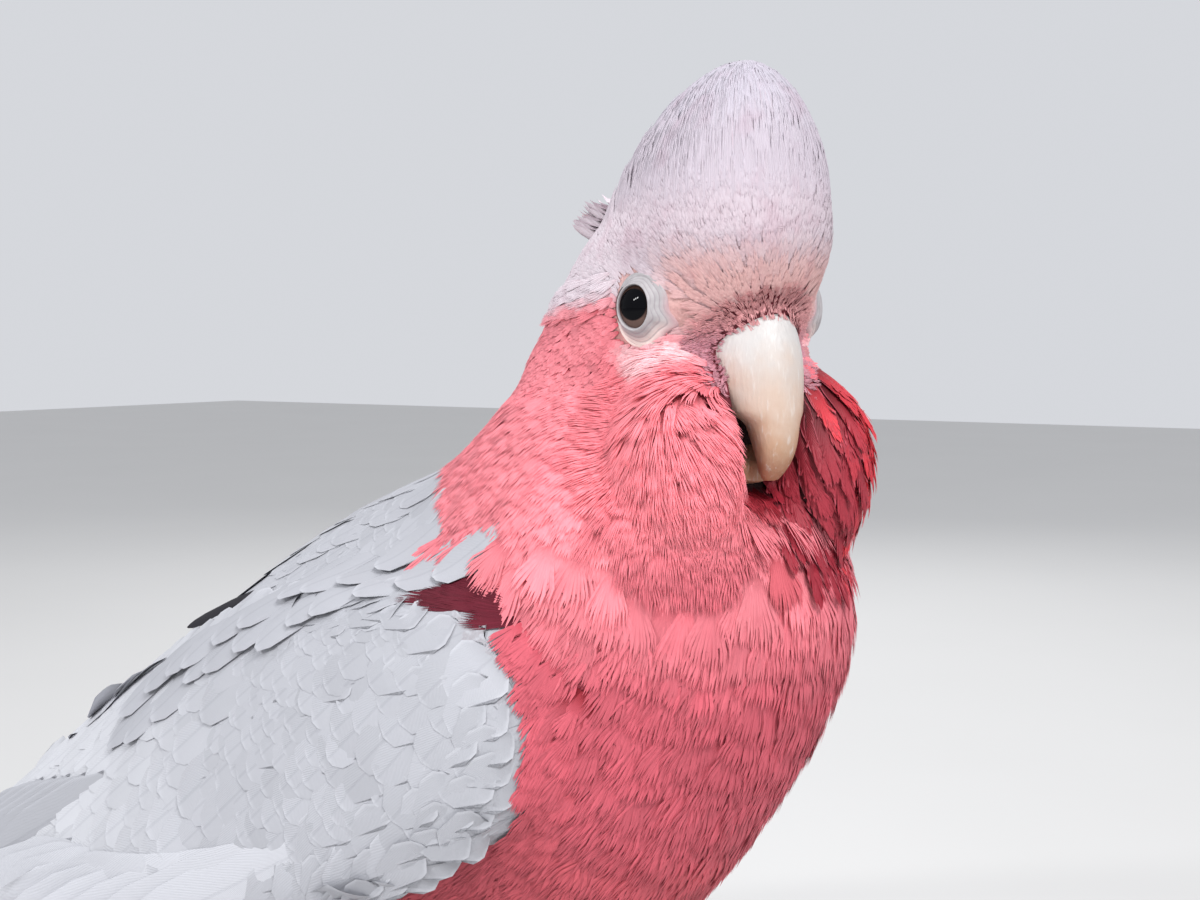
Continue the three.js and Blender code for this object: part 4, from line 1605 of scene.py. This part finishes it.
# ---- Flight feathers and tail ------------------------------------------------------------------
def side_spines(word, starts, ends):
    """Spines over a wing's outer face, straight between [forward, up] places as seen from the side."""
    side = SIDES[word]
    share = SPINE_KNOTS[None, :, None]
    line = (starts[:, None] * (1 - share) + ends[:, None] * share).reshape(-1, 2)
    outside = body.place(np.stack([line[:, 0], np.full(len(line), 90.0 * side), line[:, 1]], 1))
    inward = -side * body.left
    found, kept = wing_skins[word].hit(outside, np.tile(inward, (len(line), 1)))
    reach, last = np.zeros(len(line)), np.zeros(len(line), int)
    reach[kept] = (found - outside[kept]) @ inward
    last[kept] = kept
    points = outside + inward * reach[np.maximum.accumulate(last)][:, None]
    normals = unit(wing_skins[word].nearest(points)[1] - inward)
    return Spines(points.reshape(-1, 4, 3), normals.reshape(-1, 4, 3))


def stacked(coat, rng, spines, halves, lifts, colour, root, **form):
    """Stiff feathers of one colour that overlap like a closed fan."""
    values = one_colour(rng, spines, colour, root)
    webs(coat, rng, spines, halves * MM, lifts * MM, **values, **form)


FLIGHT_FORM = dict(columns=8, rows=14, camber=0.1, thick=0.4 * MM, roundness=0.35, neck=0.6, ragged=0.004)


def make_wing_feathers(word):
    """The folded flight feathers: long primaries, secondaries over them, and tertials on top."""
    rng = np.random.default_rng(50 + SIDES[word])
    coat = Coat()
    rows = [
        # how many, tips forward, length, root over and tip over the lower edge, half, lift, colour
        (7, (-122, -173), 74, (13, 11), (2.5, 0.8), 4.8, (0.7, 0.2), COLOUR["flight_dark"]),
        (9, (-40, -116), 52, (16, 15), (1.2, 2.2), 6.2, (1.3, 0.8), COLOUR["secondary"]),
        (6, (-104, -152), 44, (28, 20), (9, 5), 6.6, (1.8, 1.2), COLOUR["mantle"]),
    ]
    for count, tips, length, root_over, tip_over, half, lift, colour in rows:
        ends = np.linspace(*tips, count)
        starts = ends + length
        start_up = wing_low(starts) + np.linspace(*root_over, count)
        start_up = np.minimum(start_up, wing_high(starts) - 4)
        end_up = wing_low(ends) + np.linspace(*tip_over, count)
        spines = side_spines(word, np.stack([starts, start_up], 1), np.stack([ends, end_up], 1))
        halves = np.full(count, half)
        stacked(coat, rng, spines, halves, np.linspace(*lift, count), colour, colour, **FLIGHT_FORM)
    finish(coat.make(f"flight_feathers_{word}", beside_wing, FLIGHT_MATERIAL), "flight_feathers")


TAIL_STEP = 1.2  # how far the outermost tail feathers lie under the middle ones, in millimetres


def make_tail():
    """Twelve tail feathers, each laid along the top of the tail's solid."""
    rng = np.random.default_rng(60)
    shape = refined("tail", 0, "tail_shape")
    surface = Surface(shape)
    bpy.data.objects.remove(shape)
    low, high = (np.array(c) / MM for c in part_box("tail"))
    k = np.linspace(-1, 1, 12)
    share = np.linspace(0, 1, 4)
    reach = high[1] - 1.5 - 9 * k**2
    y = (low[1] + 4) + (reach[:, None] - low[1] - 4) * share
    x = k[:, None] * (6 + 12.5 * share**1.5)
    over = np.stack([x, y, np.full_like(x, high[2] + 60)], 2).reshape(-1, 3) * MM
    found, kept = surface.hit(over, np.tile((0, 0, -1.0), (len(over), 1)))
    height = np.interp(np.arange(len(over)), kept, found[:, 2])
    points = np.stack([over[:, 0], over[:, 1], height], 1).reshape(-1, 4, 3)
    points[:, :, 2] -= (TAIL_STEP * np.abs(k) * MM)[:, None]
    flat = np.stack([0.3 * k, 0 * k + 0.48, 0 * k + 0.87], 1)
    normals = np.repeat(unit(flat)[:, None], 4, axis=1)
    coat = Coat()
    halves = np.full(len(k), 7.4)
    lifts = 0.3 - 0.5 * np.abs(k)
    tint, root = COLOUR["flight"], COLOUR["rump"]
    stacked(coat, rng, Spines(points, normals), halves, lifts, tint, root, **FLIGHT_FORM)
    finish(coat.make("tail_feathers", beside_wing, FLIGHT_MATERIAL), "flight_feathers", "tail")


for side_word in SIDES:
    make_wing_feathers(side_word)
make_tail()


# ---- Feathers that stand apart ------------------------------------------------------------------
def curved(axes, starts, ends, bulge, normal):
    """Spines between points in axes' own numbers, bowed out by bulge."""
    share = np.linspace(0, 1, 4)[None, :, None]
    line = np.array(starts)[:, None] * (1 - share) + np.array(ends)[:, None] * share
    line = line + np.array(bulge) * np.sin(math.pi * share)
    normals = np.repeat(np.atleast_2d(axes.heading(normal))[:, None], 4, axis=1)
    return Spines(axes.place(line), np.broadcast_to(normals, line.shape).copy())


TUFT = dict(columns=4, rows=6, camber=0.12, roundness=0.95, ragged=0.03, thick=0.14 * MM)
TUFT_BOW = 1.5


def tuft_rows():
    """Rows from the lowest up, in millimetres.

    Each is how many feathers, the middle one's start and end as (ahead, up) from the middle of the
    head, how far apart the outermost ones start and end, half the width of one, and the colour.
    """
    return [
        (9, (-20, 12.5), (-37.5, 17.5), (5.0, 6.0), 1.3, COLOUR["coral"]),
        (11, (-20, 13.5), (-39, 18.4), (6.0, 7.0), 1.4, COLOUR["coral"]),
        (15, (-20, 14.5), (-40.5, 19.3), (7.0, 8.0), 1.5, COLOUR["brow"]),
        (15, (-20, 15.5), (-40.5, 20.2), (7.0, 8.0), 1.5, COLOUR["brow"]),
        (13, (-19.5, 16.4), (-39.5, 21.3), (6.5, 7.5), 1.5, COLOUR["brow"]),
        (13, (-19, 17.3), (-38, 22.4), (6.0, 7.0), 1.5, COLOUR["brow"]),
    ]


def make_nape_tuft():
    """Pale feathers of the nape that stand clear of the rest, coral underneath."""
    rng = np.random.default_rng(95)
    coat = Coat()
    for count, start, end, spread, half, tint in tuft_rows():
        k = np.linspace(-1, 1, count)
        drop = k**2
        starts = np.stack([start[0] + 0 * k, k * spread[0], start[1] - 1.5 * drop], 1)
        ends = np.stack([end[0] + 3 * drop, k * spread[1], end[1] - 2.5 * drop], 1)
        ends += rng.normal(0, 0.5, ends.shape)
        along = unit(np.array([end[0] - start[0], 0, end[1] - start[1]]))
        over = np.array([-along[2], 0, along[0]])
        tilt = unit(over + np.stack([0 * k, k * 2.2, 0 * k], 1))
        spines = curved(head, starts, ends, over * TUFT_BOW, tilt)
        values = one_colour(rng, spines, tint, tint)
        halves = rng.uniform(0.85, 1.1, count) * half * MM
        webs(coat, rng, spines, halves, np.zeros(count), **values, **TUFT)
    finish(coat.make("nape_tuft", around_body, PALE_MATERIAL), "crown_feathers")


make_nape_tuft()


def make_shoulder_gap(word):
    """Barbs of the side breast tucked in between the wing's shoulder and the feathers of the back,
    coloured dark maroon as painted shade.
    """
    rng = np.random.default_rng(97)
    count = 34
    starts = np.stack([rng.uniform(38, 49, count), 0 * np.ones(count), np.zeros(count)], 1)
    starts[:, 2] = 136.5 - 0.25 * (starts[:, 0] - 40) + rng.normal(0, 1.6, count)
    starts[:, 1] = SIDES[word] * 40
    ways = body.heading(np.tile((-1.0, 0.0, 0.05), (count, 1)) + rng.normal(0, 0.08, (count, 3)))
    spines = trace(cloak, body.place(starts), ways, rng.uniform(14, 22, count) * MM, cling=0.9)
    # Painted shade: these pink barbs lie in shade, so they are coloured maroon with darker roots.
    values = one_colour(rng, spines, COLOUR["maroon"], COLOUR["maroon"] * 0.6)
    coat = Coat()
    halves, lifts = np.full(count, 1.4 * MM), np.full(count, 0.9 * MM)
    fringe(coat, rng, spines, halves, lifts, barbs=8, rings=3, **values)
    finish(coat.make(f"shoulder_down_{word}", beside_wing, PLUME_MATERIAL), "rose_feathers")


def make_back_streak(word):
    """A near-black feather laid along the folded wing's top edge."""
    rng = np.random.default_rng(98)
    side = SIDES[word]
    starts = [(-11, 20 * side, 135.2)]
    ends = [(-55, 17.4 * side, 117.6)]
    spines = curved(body, starts, ends, (0, 0, 0.6), (0.35, 0.65 * side, 0.65))
    coat = Coat()
    black = COLOUR["black"]
    stacked(coat, rng, spines, np.full(1, 2.0), np.full(1, 0.9), black, black, **FLIGHT_FORM)
    finish(coat.make(f"back_streak_{word}", beside_wing, PLUME_MATERIAL), "flight_feathers")


for side_word in SIDES:
    make_shoulder_gap(side_word)
    make_back_streak(side_word)


SCAPULAR = dict(columns=6, rows=8, camber=0.12, roundness=0.6, thick=0.2 * MM)


def make_scapulars(word):
    """Two rows of long feathers from the shoulder back over the wing's upper edge."""
    rng = np.random.default_rng(90 + SIDES[word])
    coat = Coat()
    for count, first, over, lift in ((12, 40, 0, 1.9), (10, 25, 5, 2.5)):
        k = np.linspace(0, 1, count)
        forward = first - (first + 37) * k
        up = 112 + 34 * (forward + 37) / 78 + over
        starts = np.stack([forward, SIDES[word] * (26 - 4 * k - over), up], 1)
        starts += rng.normal(0, 1.0, starts.shape)
        ways = body.heading(np.tile((-0.75, 0.34 * SIDES[word], -0.56), (count, 1)))
        spines = trace(cloak, body.place(starts), ways, (19 + 13 * k) * MM, cling=0.85)
        values = one_colour(rng, spines, COLOUR["mantle"], COLOUR["mantle"])
        halves = (4.6 + 1.8 * k) * rng.uniform(0.85, 1.1, count) * MM
        webs(coat, rng, spines, halves, np.full(count, lift * MM), **values, **SCAPULAR)
    finish(coat.make(f"scapulars_{word}", beside_wing, VANE_MATERIAL), "grey_feathers")


for side_word in SIDES:
    make_scapulars(side_word)


# ---- Feet and claws ----------------------------------------------------------------------------
SCALE_SIZE = 1.5 * MM
SCALE_RISE = 0.16 * MM


def foot_material():
    material, w, shader = new_material("foot_scales", 0.5)
    seam = w.value_of("seam")
    cloud = w.noise(500, 3, w.place())
    scale = w.mix(cloud, (0.16, 0.15, 0.155, 1), (0.30, 0.28, 0.28, 1))
    w.put(shader["Base Color"], w.mix(seam, scale, (0.42, 0.38, 0.37, 1)))
    w.put(shader["Normal"], w.bump(cloud, 0.0002, 0.4))
    return material


def claw_material():
    material, w, shader = new_material("claw_horn", 0.3)
    streaks = w.streaks(1500, 3, (1, 0.2, 1))
    w.put(shader["Base Color"], w.mix(streaks, (0.02, 0.018, 0.018, 1), (0.12, 0.10, 0.09, 1)))
    w.put(shader["Roughness"], w.sum("MULTIPLY_ADD", streaks, 0.25, 0.2))
    w.put(shader["Normal"], w.bump(streaks, 0.0002, 0.3))
    return material


FOOT_SCALES = foot_material()
CLAW_HORN = claw_material()


def make_foot(node):
    """The bare shank and toes, covered with low scales."""
    piece = refined(node, 2, node + "_scaled")
    places, normals, _ = read_mesh(piece.data)
    seam = np.empty(len(places))
    for i, place in enumerate(places):
        near, _ = noise.voronoi(Vector(place / SCALE_SIZE))
        seam[i] = near[1] - near[0]
    seam = ramp(0.35, 0.0, seam)
    above = ramp(0.2, 1.2, places[:, 2] / MM)
    move_points(piece, places - normals * (seam * above * SCALE_RISE)[:, None])
    add_values(piece.data, seam=seam)
    finish_node(piece, node, FOOT_SCALES, "foot_scales")


for side_word in SIDES:
    make_foot(f"foot_{side_word}")
    for toe in ("inner_front", "outer_front", "outer_back", "inner_back"):
        claw = f"claw_{side_word}_{toe}"
        finish_node(refined(claw, 2, claw + "_horn"), claw, CLAW_HORN, "claw_horn")


# ---- Eyes and the bare skin round them ---------------------------------------------------------
def round_mesh(name, places, flip, loop=False):
    """Rings (ring, turn, 3) joined to each other, closed at both ends or, as a loop, end to end.

    flip turns every face over.
    """
    rings, turns = places.shape[:2]
    faces = []
    for ring in range(rings if loop else rings - 1):
        after = (ring + 1) % rings
        for turn in range(turns):
            beside = (turn + 1) % turns
            a, b = ring * turns + turn, ring * turns + beside
            c, d = after * turns + beside, after * turns + turn
            faces.append((a, d, c, b) if flip else (a, b, c, d))
    if not loop:
        first = list(range(turns))
        last = [(rings - 1) * turns + t for t in first]
        faces += [first, last[::-1]] if flip else [first[::-1], last]
    mesh = bpy.data.meshes.new(name)
    mesh.from_pydata(places.reshape(-1, 3).tolist(), [], faces)
    shade_smooth(mesh)
    return new_piece(name, mesh)


def eye_material():
    material, w, shader = new_material("wet_eye", 0.03, Specular_IOR_Level=0.09)
    out = w.value_of("out")
    height = w.value_of("height")
    fibres = w.noise(1500, 2, w.place())
    iris = w.mix(fibres, (0.018, 0.009, 0.007, 1), (0.07, 0.035, 0.026, 1))
    iris = w.mix(w.ramp(0.2, -2.6, height), iris, w.mix(0.5, iris, (0.22, 0.14, 0.12, 1)))
    pupil = w.ramp(2.9, 2.6, out)
    w.put(shader["Base Color"], w.mix(pupil, iris, (0.002, 0.002, 0.003, 1)))
    return material


def lid_material():
    material, w, shader = new_material("bare_lid", 0.6)
    folds = w.value_of("fold")
    cloud = w.noise(700, 3, w.place())
    colour = w.mix(cloud, (0.28, 0.265, 0.275, 1), (0.46, 0.435, 0.445, 1))
    colour = w.mix(w.value_of("cream"), colour, (0.92, 0.80, 0.74, 1))
    colour = w.mix(w.value_of("lores"), colour, (0.50, 0.31, 0.33, 1))
    # Painted shade: the skin darkens in the creases between its folds.
    colour = w.mix(w.sum("MULTIPLY", w.ramp(0.35, 0.05, folds), 0.4), colour, (0.20, 0.16, 0.18, 1))
    w.put(shader["Base Color"], w.mix(w.value_of("edge"), colour, (0.16, 0.13, 0.14, 1)))
    w.put(shader["Normal"], w.bump(cloud, 0.0002, 0.5))
    return material


EYE_WET = eye_material()
BARE_LID = lid_material()


def make_eye(word):
    """The eyeball, with how far each point lies from the pupil's middle and above the eye's."""
    axes = EyeAxes(word)
    rings, turns = 40, 64
    angle = np.linspace(0.002, math.pi * 0.75, rings)[:, None]
    turn = np.linspace(0, 2 * math.pi, turns, endpoint=False)[None]
    front = EYE_RADIUS * np.sin(angle) * np.cos(turn)
    up = EYE_RADIUS * np.sin(angle) * np.sin(turn)
    out = EYE_RADIUS * np.cos(angle) + 0 * turn
    piece = round_mesh(f"eyeball_{word}", axes.place(front, up, out), word == "right")
    add_values(piece.data, out=np.hypot(front, up - 0.35).ravel(), height=up.ravel())
    finish_node(piece, f"eye_{word}", EYE_WET, "eye_wet")


def make_lid(word):
    """The folded bare skin from the opening of the eye out to the feathers."""
    axes = EyeAxes(word)
    turns = 120
    turn = np.linspace(0, 2 * math.pi, turns, endpoint=False)[None]
    share = np.linspace(0, 1, 30)[:, None]
    opening = 1 / np.hypot(np.cos(turn) / OPENING[0], np.sin(turn) / OPENING[1])
    reach = lid_reach(turn)
    radius = opening + (reach - opening) * share**1.15
    front, up = radius * np.cos(turn), radius * np.sin(turn)
    start = axes.place(front, up, 30 + 0 * front).reshape(-1, 3)
    found, kept = skin.hit(start, np.tile(-axes.out, (len(start), 1)))
    height = np.interp(np.arange(len(start)), kept, (found - axes.middle) @ axes.out / MM)
    height = height.reshape(front.shape)
    ball = np.sqrt(np.maximum(0, EYE_RADIUS**2 - opening**2))
    lid = ball + 0.1 + 0.75 * np.sin(math.pi * np.clip(share / 0.16, 0, 1) * 0.5) - 1.2 * share
    over = lid + (height + 0.35 - lid) * ramp(0.1, 0.75, share)
    wander = 0.5 * np.sin(3 * turn + 1) + 0.35 * np.sin(7 * turn + 2)
    phase = share * 5.5 + 0.45 * wander
    fold = 0.5 + 0.5 * np.cos(2 * math.pi * phase)
    strength = ramp(0.1, 0.25, share) * ramp(1.0, 0.7, share)
    over = over - 0.06 * (1 - fold) * strength - 1.1 * ramp(0.86, 1, share)
    under = over[::-1] - 0.7
    front = np.concatenate([front, front[::-1]])
    up = np.concatenate([up, up[::-1]])
    places = axes.place(front, up, np.concatenate([over, under]))
    piece = round_mesh(f"lid_{word}", places, word == "right", loop=True)
    marks = dict(
        # fold is low in the creases, where the lid's material paints shade
        fold=1 - (1 - fold) * strength,
        cream=ramp(-0.2, -0.9, np.sin(turn)) * ramp(0.3, 0.8, share),
        lores=ramp(0.5, 1.0, np.cos(turn + 0.45)) * ramp(0.55, 1.0, share),
        edge=ramp(0.07, 0.0, share),
    )
    for key, value in marks.items():
        above = value + 0 * over
        add_values(piece.data, **{key: np.concatenate([above, above[::-1]]).ravel()})
    finish_node(piece, f"eye_ring_{word}", BARE_LID, "lid_skin")


for side_word in SIDES:
    make_eye(side_word)
    make_lid(side_word)


# ---- Stage, light and camera -------------------------------------------------------------------
CAMERA_PLACE = (-0.2560, -0.26475, 0.1799)
CAMERA_HEADING = math.radians(-57.73)  # turned from +Y, about the vertical
CAMERA_DIP = math.radians(4.07)
CAMERA_LENS = 47.85  # millimetres, on a sensor 36 wide


def make_camera():
    camera = new_piece("camera", bpy.data.cameras.new("camera"))
    camera.location = CAMERA_PLACE
    camera.rotation_euler = (math.radians(90) - CAMERA_DIP, 0, CAMERA_HEADING)
    camera.data.lens = CAMERA_LENS
    camera.data.sensor_width = 36
    camera.data.clip_start = 0.01
    bpy.context.scene.camera = camera


def area_light(name, place, aim, size, watts):
    lamp = bpy.data.lights.new(name, "AREA")
    lamp.size = size
    lamp.energy = watts
    piece = new_piece(name, lamp)
    piece.location = place
    piece.rotation_euler = (Vector(aim) - Vector(place)).to_track_quat("-Z", "Y").to_euler()


def make_light():
    world = bpy.data.worlds.new("studio")
    world.use_nodes = True
    sky = world.node_tree.nodes["Background"]
    sky.inputs["Color"].default_value = (0.93, 0.95, 1.0, 1)
    sky.inputs["Strength"].default_value = 0.72
    bpy.context.scene.world = world
    aim = (0, -0.08, 0.15)
    steps = (-1, 0, 1)
    for step in steps:
        place = (-0.45 + 0.16 * step, -0.75, 0.95 - 0.07 * abs(step))
        area_light(f"key_{step + 1}", place, aim, 0.12, 3.4)
    for step in steps:
        place = (-0.9, 0.25 + 0.1 * step, 0.6 - 0.05 * step)
        area_light(f"fill_{step + 1}", place, aim, 0.07, 1.4)
    area_light("rim", (0.8, 0.3, 0.7), aim, 0.5, 3.0)


FLOOR_HALF = 3.0


def make_floor():
    mesh = bpy.data.meshes.new("floor")
    corners = [(FLOOR_HALF * x, FLOOR_HALF * y, 0) for x, y in ((-1, -1), (1, -1), (1, 1), (-1, 1))]
    mesh.from_pydata(corners, [], [(0, 1, 2, 3)])
    floor = new_piece("floor", mesh)
    material, w, shader = new_material("pale_floor", 0.6)
    shade = w.noise(6, 3, w.place())
    w.put(shader["Base Color"], w.mix(shade, (0.60, 0.595, 0.585, 1), (0.63, 0.625, 0.615, 1)))
    mesh.materials.append(material)


make_camera()
make_light()
make_floor()
bpy.context.scene.view_settings.view_transform = "Standard"
